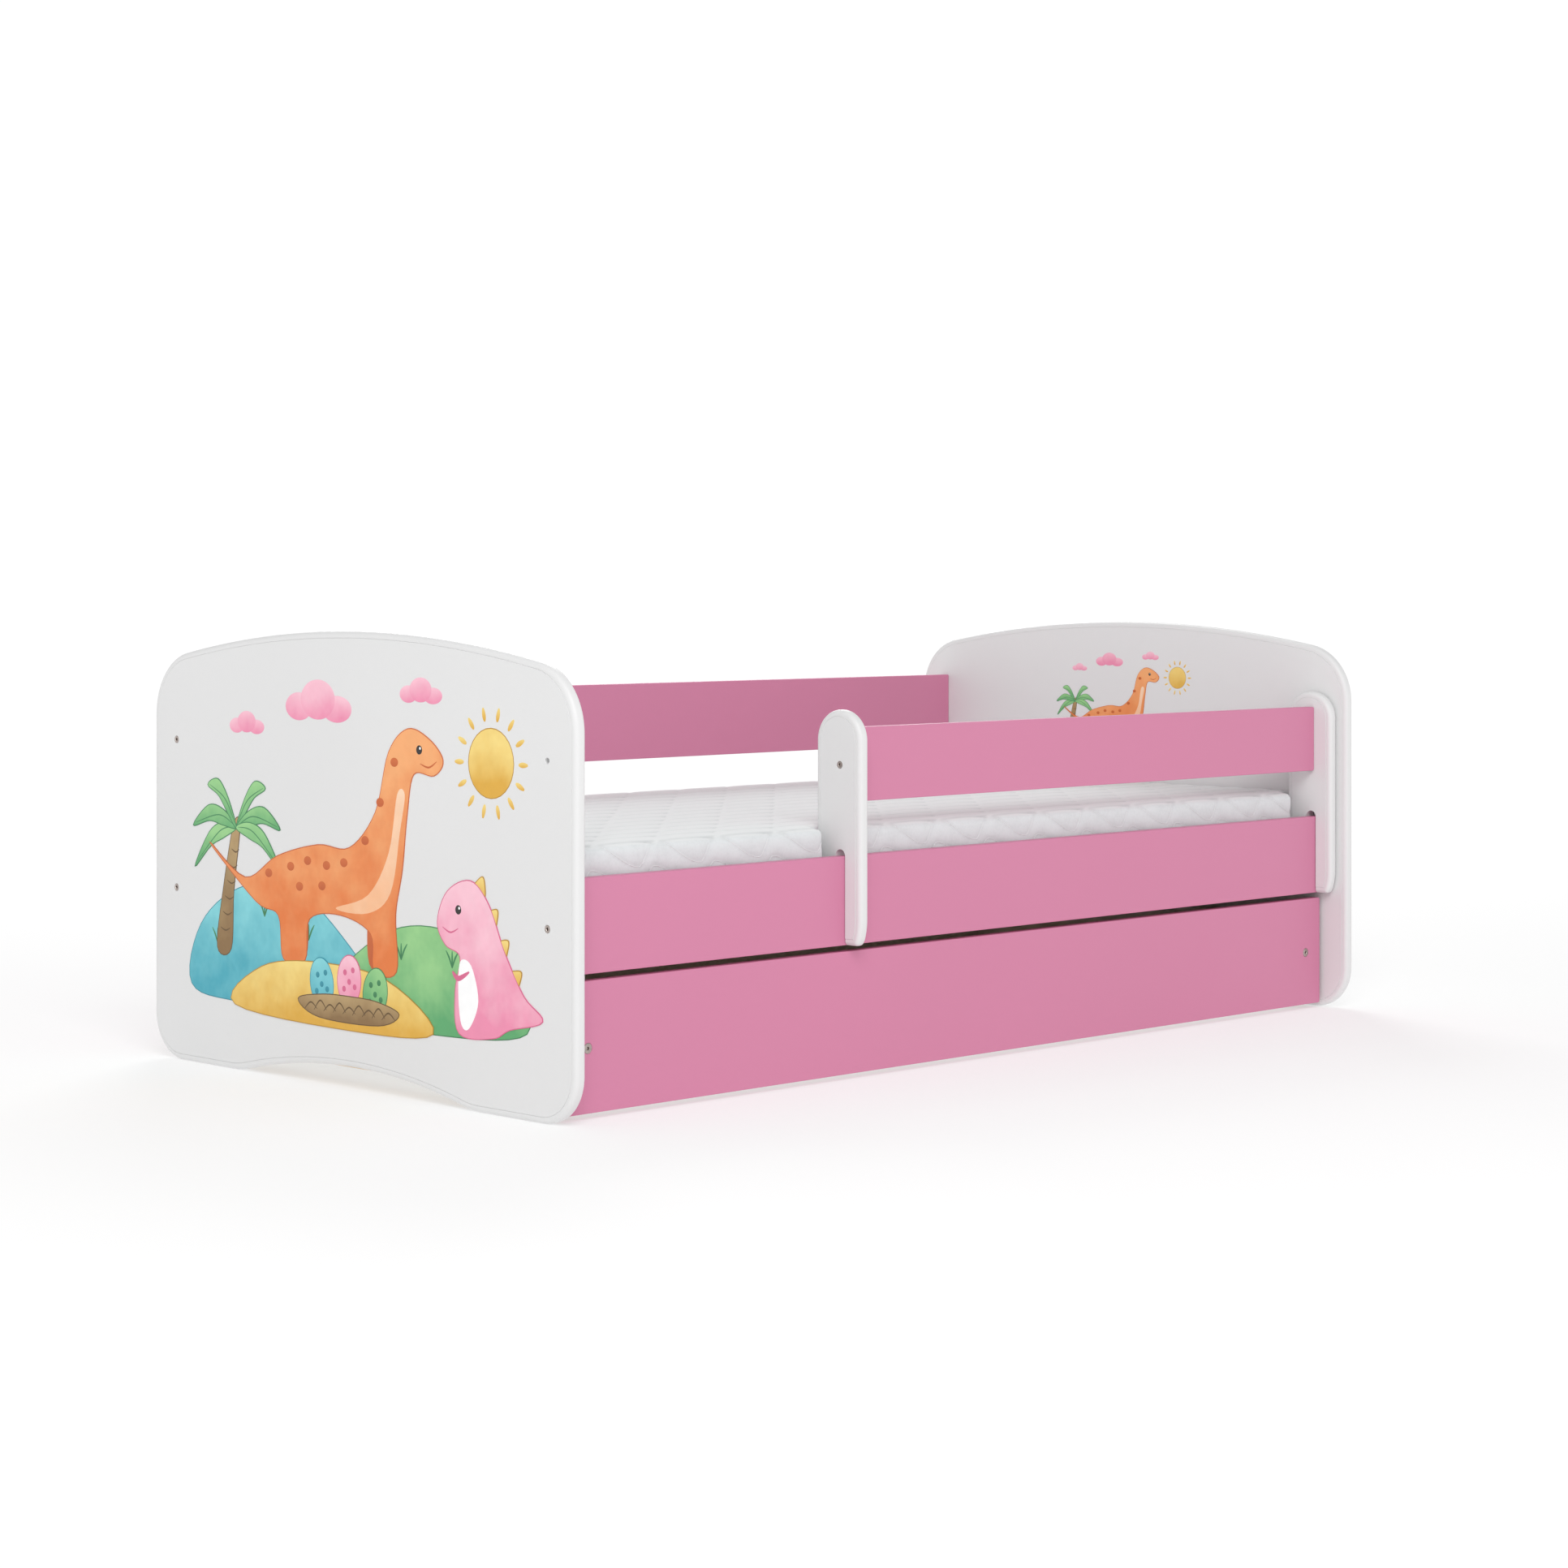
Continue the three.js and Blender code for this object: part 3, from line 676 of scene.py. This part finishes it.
# Printed motif: hills, a palm, eggs and two simple dinosaurs, a design of this script's own, drawn in
# millimetres to the right of the panel's middle and above the floor

INKS = {
    "rose": ("ef8fb0", "fbc6d5"), "rose_dark": ("d9688f", "d9688f"), "sea": ("45a9bb", "86d6dd"),
    "sea_dark": ("2d8798", "3795a6"), "leaf": ("5aa86c", "9bd28d"), "leaf_dark": ("36794c", "448a59"),
    "rust": ("e57a38", "f6ac70"), "rust_pale": ("f8bd90", "fcd8b8"), "rust_dark": ("c25c29", "cf6a33"),
    "sand": ("dfab3c", "f6da82"), "sand_dark": ("b98a2c", "b98a2c"), "bark": ("8a6b42", "b79a6b"),
    "bark_dark": ("654c2b", "654c2b"), "white": ("ffffff", "ffffff"), "black": ("2a2424", "2a2424"),
}
OUTLINE_WIDTH = 1.3
INK_LAYER = 0.008 * MM


def linear_colour(code):
    values = [int(code[i:i + 2], 16) / 255 for i in (0, 2, 4)]
    return tuple(v / 12.92 if v < 0.04045 else ((v + 0.055) / 1.055) ** 2.4 for v in values)


def flowing(points, steps=6, closed=True):
    """A smooth line through points."""
    p = np.array(points, float)
    count = len(p)
    result = []
    for i in range(count if closed else count - 1):
        if closed:
            a, b, c, d = p[i - 1], p[i], p[(i + 1) % count], p[(i + 2) % count]
        else:
            a, b, c, d = p[max(0, i - 1)], p[i], p[i + 1], p[min(count - 1, i + 2)]
        for k in range(steps):
            t = k / steps
            result.append(0.5 * (2 * b + (c - a) * t + (2 * a - 5 * b + 4 * c - d) * t**2
                                 + (3 * b - a - 3 * c + d) * t**3))
    if not closed:
        result.append(p[-1])
    return result


def moved(points, u, v, turn):
    """Points turned about their origin and moved to (u, v)."""
    c, s = math.cos(turn), math.sin(turn)
    return [(u + a * c - b * s, v + a * s + b * c) for a, b in points]


class Drawing:
    """Flat shapes in order, each with an ink and a height for its order."""

    def __init__(self):
        self.shapes = []

    def fill(self, outline, ink):
        outline = np.array(outline, float)
        after = np.roll(outline, -1, 0)
        if (outline[:, 0] * after[:, 1] - outline[:, 1] * after[:, 0]).sum() < 0:
            outline = outline[::-1]
        self.shapes.append((outline, ink))
        return outline

    def outlined(self, outline, ink, line):
        """A shape over a slightly larger one in the line's ink."""
        outline = self.fill(outline, ink)
        if line:
            self.shapes.insert(-1, (inset(outline, -OUTLINE_WIDTH), line))

    def blob(self, points, ink, line=None):
        self.outlined(flowing(points), ink, line)

    def oval(self, u, v, wide, high, ink, turn=0, line=None):
        steps = 28
        turns = [2 * math.pi * i / steps for i in range(steps)]
        points = [(wide * math.cos(t), high * math.sin(t)) for t in turns]
        self.outlined(moved(points, u, v, math.radians(turn)), ink, line)

    def ovals(self, ink, *places):
        for place in places:
            self.oval(*place[:4], ink, *place[4:])

    def stroke(self, points, ink, width=2.2):
        """A line that tapers to both ends."""
        path = np.array(flowing(points, 8, False))
        ahead = np.gradient(path, axis=0)
        ahead /= np.linalg.norm(ahead, axis=1)[:, None]
        across = np.column_stack([-ahead[:, 1], ahead[:, 0]])
        half = width / 2 * (0.3 + 0.7 * np.sin(np.linspace(0, math.pi, len(path))))[:, None]
        self.fill([*(path + across * half), *(path - across * half)[::-1]], ink)

    def eye(self, u, v, size):
        self.oval(u, v, size, size, "black")
        self.oval(u + size * 0.3, v + size * 0.35, size * 0.3, size * 0.3, "white")

    def leaf(self, u, v, length, turn):
        """A long leaf that droops from its stalk."""
        turn = math.radians(turn)
        shape = [(0, 0), (0.3, 0.16), (0.65, 0.13), (1, -0.22), (0.62, -0.06), (0.3, -0.04)]
        spine = [(0.04, 0.02), (0.4, 0.07), (0.94, -0.17)]

        along, rise = length * math.cos(turn), length * math.sin(turn)

        def put(points):
            return [(u + a * along, v + a * rise + b * length) for a, b in points]

        self.blob(put(shape), "leaf", "leaf_dark")
        self.stroke(put(spine), "leaf_dark", 1.6)

    def spike(self, u, v, size, turn, ink, line):
        shape = [(-0.55, 0), (-0.4, 0.5), (0, 1), (0.4, 0.5), (0.55, 0), (0, -0.25)]
        points = [(size * a, size * b) for a, b in shape]
        self.blob(moved(points, u, v, math.radians(turn)), ink, line)


def draw_sky(d):
    centre, radius, rays = (292, 446), 44, 14
    d.oval(*centre, radius, radius, "sand", 0, "sand_dark")
    for i in range(rays):
        u, v = math.cos(2 * math.pi * i / rays), math.sin(2 * math.pi * i / rays)
        d.stroke([(centre[0] + u * reach, centre[1] + v * reach) for reach in (54, 62, 72)], "sand", 7)
    for u, v, size in ((-70, 508, 1.0), (150, 530, 0.6), (-232, 478, 0.55)):
        d.ovals("rose", *((u + size * a, v + size * b, size * wide, size * high)
                          for a, b, wide, high in ((-42, 0, 30, 19), (42, -2, 32, 18), (0, 10, 38, 27))))


def draw_hills(d):
    back_hill = [
        (-362, 112), (-340, 196), (-250, 252), (-130, 262), (-20, 205), (70, 120), (-20, 96), (-250, 96),
    ]
    right_hill = [(-70, 100), (0, 172), (110, 224), (230, 222), (322, 172), (362, 110), (200, 92)]
    d.blob(back_hill, "sea", "sea_dark")
    d.blob(right_hill, "leaf", "leaf_dark")
    for u, v in ((-300, 180), (-190, 225), (-90, 200), (110, 190), (215, 188), (290, 150)):
        for lean in (-9, 0, 9):
            d.stroke([(u, v - 8), (u + lean * 0.6, v + 4), (u + lean * 1.4, v + 14)], "leaf_dark", 3)


def draw_palm(d):
    trunk = [(-300, 168), (-286, 250), (-262, 340), (-248, 338), (-262, 250), (-268, 168)]
    d.blob(trunk, "bark", "bark_dark")
    for k in range(6):
        v = 196 + 22 * k
        d.stroke([(-293 + 5.2 * k, v), (-281 + 4.8 * k, v - 4), (-270 + 4 * k, v)], "bark_dark", 2)
    for turn in (200, 168, 130, 50, 14, -16):
        d.leaf(-256, 336, 104, turn)


def draw_long_neck(d):
    """A four-legged walker in side view, looking to the right."""
    for u in (-118, 66):
        d.blob([(u - 20, 250), (u - 22, 172), (u + 22, 172), (u + 20, 250)], "rust_dark", "rust_dark")
    body = [
        (-318, 312), (-235, 268), (-160, 302), (-70, 322), (0, 322), (56, 372), (84, 452), (124, 484),
        (168, 472), (196, 446), (178, 426), (136, 426), (122, 372), (112, 300), (98, 240), (100, 166),
        (54, 164), (46, 212), (-20, 232), (-88, 222), (-98, 166), (-146, 164), (-158, 222), (-210, 238),
    ]
    belly = [(118, 398), (108, 350), (88, 268), (40, 238), (-30, 240), (40, 262), (84, 320), (102, 398)]
    spots = [
        (-180, 278), (-130, 290), (-92, 300), (-50, 296), (-12, 302), (-110, 264), (-60, 268), (34, 334),
        (66, 386), (96, 440),
    ]
    d.blob(body, "rust", "rust_dark")
    d.blob(belly, "rust_pale")
    d.ovals("rust_dark", *((u, v, 8, 6) for u, v in spots))
    d.eye(148, 458, 6)
    d.stroke([(150, 440), (168, 436), (184, 444)], "rust_dark", 2.4)


def draw_young_one(d):
    """A small upright one in side view, looking to the left."""
    for u, v, turn in ((268, 280, -22), (290, 244, -42), (310, 208, -48), (334, 172, -52)):
        d.spike(u, v, 22, turn, "sand", "sand_dark")
    d.blob([(186, 238), (206, 278), (252, 294), (288, 266), (318, 210), (356, 156), (392, 128), (330, 112),
            (296, 98), (230, 98), (222, 150), (232, 196), (202, 210)], "rose", "rose_dark")
    d.blob([(232, 190), (254, 186), (268, 142), (250, 106), (234, 110), (228, 150)], "white")
    d.stroke([(250, 178), (228, 168), (216, 176)], "rose_dark", 7)
    d.eye(228, 256, 6)
    d.stroke([(196, 232), (212, 226), (228, 232)], "rose_dark", 2.4)


def draw_nest(d):
    d.blob([(-258, 92), (-196, 148), (-70, 164), (80, 152), (176, 92), (0, 80)], "sand", "sand_dark")
    for u, v, ink, spots, turn in ((-60, 138, "sea", "sea_dark", 12), (0, 146, "rose", "rose_dark", -4),
                                   (56, 134, "leaf", "leaf_dark", -14)):
        d.oval(u, v, 25, 33, ink, turn, spots)
        places = ((-9, 10), (8, 14), (0, -2), (12, -8), (-11, -12))
        d.ovals(spots, *((u + a, v + b, 4, 4) for a, b in places))
    nest = [(-112, 112), (-60, 122), (0, 124), (60, 122), (106, 110), (62, 92), (-66, 92)]
    d.blob(nest, "bark", "bark_dark")
    for k in range(9):
        u = -84 + 21 * k
        d.stroke([(u - 14, 100), (u, 110 + 4 * (k % 2)), (u + 14, 102)], "bark_dark", 2.2)


def printed_ink():
    """Ink under the lacquer: two tones of each shape blended across it, with a watery mottle."""
    n = Nodes("printed_ink", 0.42)
    low = n.add("ShaderNodeAttribute", attribute_name="ink_low").outputs["Color"]
    high = n.add("ShaderNodeAttribute", attribute_name="ink_high").outputs["Color"]
    blend = n.add("ShaderNodeAttribute", attribute_name="ink_blend").outputs["Fac"]
    wash = n.math("ADD", blend, n.remap(n.noise(16, 3, 0.6), -0.3, 0.3))
    tone = n.mix(wash, low, high)
    dots = n.ramp(n.noise(60, 2), [(0.35, (0.97, 0.97, 0.97)), (0.65, (1, 1, 1))])
    colour = n.mix(1.0, tone, dots, "MULTIPLY")
    set_inputs(n.shader, {"Specular IOR Level": 0.42})
    return n.finish(colour, n.remap(n.noise(9, 3), 0.38, 0.47), n.bump(n.noise(420, 2), 0.00006))


def print_on(node, scale, base):
    """Lays the drawing on the face of a panel that looks towards the foot of the bed."""
    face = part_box(node)[0].x
    bm = bmesh.new()
    low_layer = bm.verts.layers.float_color.new("ink_low")
    high_layer = bm.verts.layers.float_color.new("ink_high")
    blend_layer = bm.verts.layers.float.new("ink_blend")
    for order, (outline, ink) in enumerate(MOTIF.shapes):
        height = 0.05 * MM + INK_LAYER * order
        tones = [(*linear_colour(code), 1) for code in INKS[ink]]
        bottom, top = outline[:, 1].min(), outline[:, 1].max()
        rings = []
        for x in (face + 0.02 * MM, face - height):
            ring = []
            for u, v in outline:
                vert = bm.verts.new((x, -u * scale * MM, base + v * scale * MM))
                vert[low_layer], vert[high_layer] = tones
                vert[blend_layer] = (v - bottom) / (top - bottom)
                ring.append(vert)
            rings.append(ring)
        join_rings(bm, rings[0], rings[1])
        bm.faces.new(rings[0])
        bm.faces.new(list(reversed(rings[1])))
    piece = new_piece(f"{node}_motif", bm, materials["ink"])
    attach(piece, "frame")


# Mattress

QUILT = {
    "period": 0.1082, "first_seam": -0.7349, "rib": 0.051, "first_groove": 6 * MM, "rib_height": 2.8 * MM,
    "row": 0.0335, "rows": 3, "puff": 2.0 * MM,
}
MATTRESS_EDGE = 14 * MM
MATTRESS_FOOT = 12 * MM
# Strength of the painted crease shade on the mattress's sides, compared with the top.
SIDE_CREASE_SHADE = 0.7


def smooth_step(x):
    x = np.clip(x, 0, 1)
    return x * x * (3 - 2 * x)


def round_off(distance, radius):
    """How far a quarter-round edge falls away, at a distance inside the rim."""
    d = np.clip(distance, 0, radius)
    return radius - np.sqrt(np.maximum(0, radius**2 - (radius - d) ** 2))


def mattress_pulls(x, low, high):
    """How far the front and back rims are drawn in at each x, by round corners and the posts' notches."""
    corner = 0.058
    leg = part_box("guard_post_middle")
    head_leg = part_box("guard_post_head")
    clear = 8 * MM
    depth = leg[1].y + clear - low.y
    middle = (leg[0].x + leg[1].x) / 2
    half = (leg[1].x - leg[0].x) / 2 + clear
    notch = depth * (1 - smooth_step((np.abs(x - middle) - half) / 0.014))
    head_start = head_leg[0].x - clear - 0.03
    head_notch = depth * smooth_step((x - head_start) / 0.03)
    front = notch + np.where(x > 0, head_notch, round_off(x - low.x, corner))
    back = round_off(np.minimum(x - low.x, high.x - x), corner)
    return front, back


def seam_phase(x, y, front):
    """Counts the diagonal seams that cross the cover: whole numbers lie on a seam."""
    return (x - y + front - QUILT["first_seam"]) / QUILT["period"]


def groove_bow(x, y, front):
    """How far the grooves between ribs bow back within each cell."""
    t = seam_phase(x, y, front) % 1.0
    return 5 * MM * np.sin(math.pi * t)


def top_relief(x, y, front):
    """Height of the quilted top: lengthways ribs, bowed and hooked, that fade out at diagonal seams."""
    phase = seam_phase(x, y, front)
    t = phase % 1.0
    hook = 6 * MM * np.exp(-(1 - t) / 0.07)
    rib_phase = (y - groove_bow(x, y, front) + hook - front - QUILT["first_groove"]) / QUILT["rib"]
    groove = 1 - np.abs(np.sin(math.pi * rib_phase)) ** 0.55
    fade = smooth_step(t / 0.14) * smooth_step((1 - t) / 0.035)
    strength = fade * (0.85 + 0.4 * smooth_step((t - 0.6) / 0.3))
    seam = np.abs(phase - np.round(phase)) * QUILT["period"] / math.sqrt(2)
    return -QUILT["rib_height"] * groove * strength - 0.8 * MM * np.exp(-((seam / (5 * MM)) ** 2))


def seam_height(t, row, top):
    """Height of a wavy side seam: a long fall to a round foot, then a steep rise."""
    foot = 0.77
    depth = np.where(t < foot, smooth_step(t / foot), 1 - smooth_step((t - foot) / (1 - foot)))
    return top - QUILT["row"] * (row + depth)


def side_relief(t, z, top):
    """How deep the side is drawn in towards its wavy seams, zero where it is fullest."""
    reach = np.linspace(-0.03, 0.03, 49)
    gap = np.full(len(t), 1.0)
    for row in range(QUILT["rows"]):
        near = (t[:, None] + reach[None, :] / QUILT["period"]) % 1.0
        rise = seam_height(near, row, top) - z[:, None]
        gap = np.minimum(gap, np.sqrt(reach[None, :] ** 2 + rise**2).min(1))
    return -QUILT["puff"] * np.exp(-((gap / (7 * MM)) ** 0.9))


def nearest_on_loop(points, loop):
    """Distance of each point to a closed line, and the direction to it."""
    start, end = loop, np.roll(loop, -1, 0)
    best = np.full(len(points), 1e9)
    away = np.zeros_like(points)
    for a, span in zip(start, end - start):
        t = np.clip(((points - a) @ span) / max(1e-12, span @ span), 0, 1)
        gap = a + t[:, None] * span - points
        distance = (gap**2).sum(1)
        nearer = distance < best
        best[nearer] = distance[nearer]
        away[nearer] = gap[nearer]
    best = np.sqrt(best)
    return best, away / np.maximum(1e-9, best)[:, None]


def loop_normals(loop):
    ahead = np.roll(loop, -1, 0) - np.roll(loop, 1, 0)
    out = np.stack([ahead[:, 1], -ahead[:, 0]], 1)
    return out / np.linalg.norm(out, axis=1)[:, None]


def mattress_grid(low, high):
    """Points of the top in columns along the length, close together at ribs, rims and notches."""
    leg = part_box("guard_post_middle")
    edge = np.array([0, 0.5, 1.5, 3, 5, 7.5, 10.5, 14]) * MM
    columns = np.unique(np.round(np.concatenate([
        low.x + edge,
        np.linspace(low.x + 19 * MM, high.x - 19 * MM, 240),
        np.linspace(leg[0].x - 0.03, leg[1].x + 0.03, 50),
        np.linspace(high.x - 0.07, high.x - 19 * MM, 26),
        high.x - edge,
    ]), 5))
    fractions = (0, 0.025, 0.06, 0.12, 0.21, 0.34, 0.5, 0.66, 0.79, 0.88, 0.94, 0.975)
    ribs = int((high.y - low.y - 2 * QUILT["first_groove"]) / QUILT["rib"] + 0.5)
    first = low.y + QUILT["first_groove"]
    inner = np.array([first + QUILT["rib"] * (k + f) for k in range(ribs) for f in fractions])
    inner = inner[(inner > low.y + 17 * MM) & (inner < high.y - 17 * MM)]
    rows = np.concatenate([low.y + edge, inner, high.y - edge[::-1]])
    x = np.repeat(columns[:, None], len(rows), 1)
    y = np.repeat(rows[None, :], len(columns), 0)
    inside = np.minimum(y - low.y, high.y - y)
    y = y + groove_bow(x, y, low.y) * smooth_step((inside - 14 * MM) / (20 * MM))
    front, back = mattress_pulls(columns, low, high)
    near_front = 1 - smooth_step((y - low.y - 14 * MM) / 0.09)
    near_back = 1 - smooth_step((high.y - 14 * MM - y) / 0.09)
    return x, y + front[:, None] * near_front - back[:, None] * near_back


def rim_indices(columns, rows):
    """Indices of the grid's rim, anticlockwise from the low corner."""
    front = [i * rows for i in range(columns)]
    right = [(columns - 1) * rows + j for j in range(1, rows)]
    back = [i * rows + rows - 1 for i in range(columns - 2, -1, -1)]
    left = list(range(rows - 2, 0, -1))
    return front + right + back + left


def mattress_surface(points, inside, outward, low, high):
    """Lays plan points on the rounded, quilted top, and tells how deep in a crease each is, which the
    cover paints as shade.
    """
    x, y = points[:, 0], points[:, 1]
    lean = 1 - np.clip(inside / MATTRESS_EDGE, 0, 1)
    up = np.sqrt(1 - lean**2)
    back_fall = 3 * MM * np.exp(-(high.y - y) / 0.035)
    z = high.z + 1.2 * MM - round_off(inside, MATTRESS_EDGE) - back_fall
    t = seam_phase(x, y, low.y) % 1.0
    on_top = smooth_step((inside - 3 * MM) / (5 * MM))
    side = side_relief(t, z, high.z + 0.7 * MM)
    relief = side * (1 - on_top) + top_relief(x, y, low.y) * on_top
    depth = -relief / np.where(on_top > 0.5, QUILT["rib_height"], QUILT["puff"] / SIDE_CREASE_SHADE)
    return np.column_stack([points + outward * (lean * relief)[:, None], z + up * relief]), depth


def side_rings(rim, outward, low, high):
    """Rings of the side under the rim, quilted down to a rounded foot."""
    start = high.z + 1.2 * MM - MATTRESS_EDGE
    levels = [(z, 0.0) for z in np.linspace(start - 3.5 * MM, low.z + MATTRESS_FOOT, 21)]
    for i in range(1, 6):
        turn = math.pi / 2 * i / 5
        levels.append((low.z + MATTRESS_FOOT * (1 - math.sin(turn)), MATTRESS_FOOT * (1 - math.cos(turn))))
    t = seam_phase(rim[:, 0], rim[:, 1], low.y) % 1.0
    for level, pull in levels:
        height = np.full(len(rim), level)
        relief = side_relief(t, height, high.z + 0.7 * MM)
        surface = np.column_stack([rim + outward * (relief - pull)[:, None], height])
        yield surface, -relief / QUILT["puff"] * SIDE_CREASE_SHADE


def mattress():
    low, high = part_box("mattress")
    x, y = mattress_grid(low, high)
    columns, rows = x.shape
    rim = rim_indices(columns, rows)
    points = np.column_stack([x.ravel(), y.ravel()])
    inside, outward = nearest_on_loop(points, points[rim])
    normals = loop_normals(points[rim])
    outward[rim] = normals
    bm = bmesh.new()
    # Each point's crease depth, which the cover's material uses to paint shade into the creases.
    crease = bm.verts.layers.float.new("crease")
    surface, depths = mattress_surface(points, inside, outward, low, high)
    top = []
    for place, depth in zip(surface, depths):
        top.append(bm.verts.new(place))
        top[-1][crease] = depth
    for i in range(columns - 1):
        for j in range(rows - 1):
            a = i * rows + j
            bm.faces.new((top[a], top[a + rows], top[a + rows + 1], top[a + 1]))
    loop = [top[i] for i in rim]
    for ring, depths in side_rings(points[rim], normals, low, high):
        below = []
        for place, depth in zip(ring, depths):
            below.append(bm.verts.new(place))
            below[-1][crease] = depth
        join_rings(bm, below, loop)
        loop = below
    close_underside(bm, loop, columns, rows)
    piece = new_piece("mattress_quilted", bm, materials["cover"], 80)
    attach(piece, "mattress")
    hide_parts("mattress")
    mattress_threads(points[rim], normals, low, high)


def mattress_threads(rim, outward, low, high):
    """The lines of stitching along the wavy side seams."""
    middle = (rim + np.roll(rim, -1, 0)) / 2
    dense = np.stack([rim, middle], 1).reshape(-1, 2)
    facing = np.repeat(outward, 2, 0)
    t = seam_phase(dense[:, 0], dense[:, 1], low.y) % 1.0
    top = high.z + 0.7 * MM
    bm = bmesh.new()
    for row in range(QUILT["rows"]):
        height = np.minimum(seam_height(t, row, top), high.z - 5 * MM)
        buried = 5 * MM * smooth_step((seam_height(t, row, top) - height) / (1.5 * MM))
        sunk = np.clip(height - (high.z + 1.2 * MM - MATTRESS_EDGE), 0, MATTRESS_EDGE)
        drawn_in = MATTRESS_EDGE - np.sqrt(MATTRESS_EDGE**2 - sunk**2)
        out = -QUILT["puff"] - drawn_in + 0.4 * MM - buried
        cord(bm, np.column_stack([dense + facing * out[:, None], height]), 0.45 * MM)
    piece = new_piece("mattress_stitching", bm, materials["thread"], 180)
    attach(piece, "mattress")


def cord(bm, path, radius, sides=5):
    """A thin closed tube along a path that ends where it starts."""
    ahead = np.roll(path, -1, 0) - np.roll(path, 1, 0)
    ahead /= np.linalg.norm(ahead, axis=1)[:, None]
    across = np.cross(ahead, (0, 0, 1))
    across /= np.linalg.norm(across, axis=1)[:, None]
    over = np.cross(across, ahead)
    rings = []
    for point, a, o in zip(path, across, over):
        turns = [2 * math.pi * i / sides for i in range(sides)]
        rings.append([bm.verts.new(point + radius * (math.cos(t) * a + math.sin(t) * o)) for t in turns])
    for first, second in zip(rings, rings[1:] + rings[:1]):
        join_rings(bm, first, second)


def close_underside(bm, loop, columns, rows):
    """Joins the front and back of the lowest ring by one long face for each column."""
    front = loop[:columns]
    right = loop[columns:columns + rows - 2]
    back = list(reversed(loop[columns + rows - 2:2 * columns + rows - 2]))
    left = loop[2 * columns + rows - 2:]
    last = columns - 1
    for i in range(1, last - 1):
        bm.faces.new((front[i + 1], front[i], back[i], back[i + 1]))
    bm.faces.new([front[1], front[0], *reversed(left), back[0], back[1]])
    bm.faces.new([back[last - 1], back[last], *reversed(right), front[last], front[last - 1]])


# Stage and light

DOME = 0.55
HORIZON = 1.03


def light(name, place, target, size, power):
    data = bpy.data.lights.new(name, "AREA")
    data.shape = "SQUARE"
    data.size = size
    data.energy = power
    lamp = bpy.data.objects.new(name, data)
    lamp.location = place
    lamp.rotation_euler = (Vector(target) - Vector(place)).to_track_quat("-Z", "Y").to_euler()
    bpy.context.scene.collection.objects.link(lamp)


def stage():
    """A white studio: a surround brightest at eye level, a pale floor that fades into it, soft lamps."""
    world = bpy.data.worlds.new("studio")
    world.use_nodes = True
    tree = world.node_tree
    split = tree.nodes.new("ShaderNodeSeparateXYZ")
    tree.links.new(tree.nodes.new("ShaderNodeTexCoord").outputs["Generated"], split.inputs["Vector"])
    height = tree.nodes.new("ShaderNodeMath")
    height.operation = "ABSOLUTE"
    tree.links.new(split.outputs["Z"], height.inputs[0])
    level = tree.nodes.new("ShaderNodeMapRange")
    set_inputs(level, {"From Min": 0.19, "From Max": 0.36, "To Min": HORIZON, "To Max": DOME})
    tree.links.new(height.outputs["Value"], level.inputs["Value"])
    background = tree.nodes["Background"]
    background.inputs["Color"].default_value = (1, 1, 1, 1)
    tree.links.new(level.outputs["Result"], background.inputs["Strength"])
    bpy.context.scene.world = world
    light("key", (-3.0, -3.6, 3.6), (0, 0, 0.3), 2.6, 122)
    light("back", (3.0, 3.8, 3.6), (0, 0, 0.3), 2.6, 118)

    bm = bmesh.new()
    bmesh.ops.create_circle(bm, cap_ends=True, radius=60, segments=96)
    n = Nodes("floor_paint", 1.0)
    distance = n.add("ShaderNodeVectorMath", operation="LENGTH")
    n.link(n.place, distance.inputs[0])
    near, far = 1.4, 4.5
    fade = n.remap(distance.outputs["Value"], 0, 1, near, far)
    paint = n.ramp(fade, [(0, (0.5, 0.5, 0.5)), (1, (0, 0, 0))])
    glow = n.remap(distance.outputs["Value"], 0.5, HORIZON, near, far)
    n.link(glow, n.shader.inputs["Emission Strength"])
    set_inputs(n.shader, {"Specular IOR Level": 0.0, "Emission Color": (1, 1, 1, 1)})
    floor = new_piece("floor", bm, n.finish(paint))
    bpy.context.scene.view_settings.view_transform = "Standard"


make_camera()
materials = make_materials()
SCREWS = screw_places()
for end, end_side in ENDS:
    end_panel(end, end_side)
for rail in RAILS:
    board(rail, 1, "pink", "frame", 1.6 * MM, 1.2 * MM)
board("guard_board", 1, "pink", "guard", BOARD_RADIUS, 1.2 * MM)
for post in ("middle", "head"):
    guard_post(post)
drawer_front()
for end, _ in ENDS:
    board(f"drawer_side_{end}", 1, "drawer", "drawer", 1.5 * MM)
    board(f"runner_spacer_{end}", 1, "pine_y", "frame", 1 * MM)
board("drawer_back", 0, "drawer", "drawer", 1.5 * MM)
board("drawer_bottom", 0, "hardboard", "drawer", 0.8 * MM)
for slat in [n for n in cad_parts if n.startswith("slat_") and "batten" not in n]:
    board(slat, 1, "pine_y", "frame", 2.5 * MM)
for batten in ("slat_batten_front", "slat_batten_back"):
    board(batten, 0, "pine_x", "frame", 2 * MM)
screws()
rollers()
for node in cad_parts:
    if "_dowel_" in node:
        dress(node, "pine_x")
    if "_runner_" in node:
        dress(node, "runner")
MOTIF = Drawing()
for draw in (draw_sky, draw_hills, draw_palm, draw_long_neck, draw_young_one, draw_nest):
    draw(MOTIF)
print_on("foot_end_panel", 1.0, 0)
print_on("head_end_panel", 0.4, 0.34)
mattress()
stage()
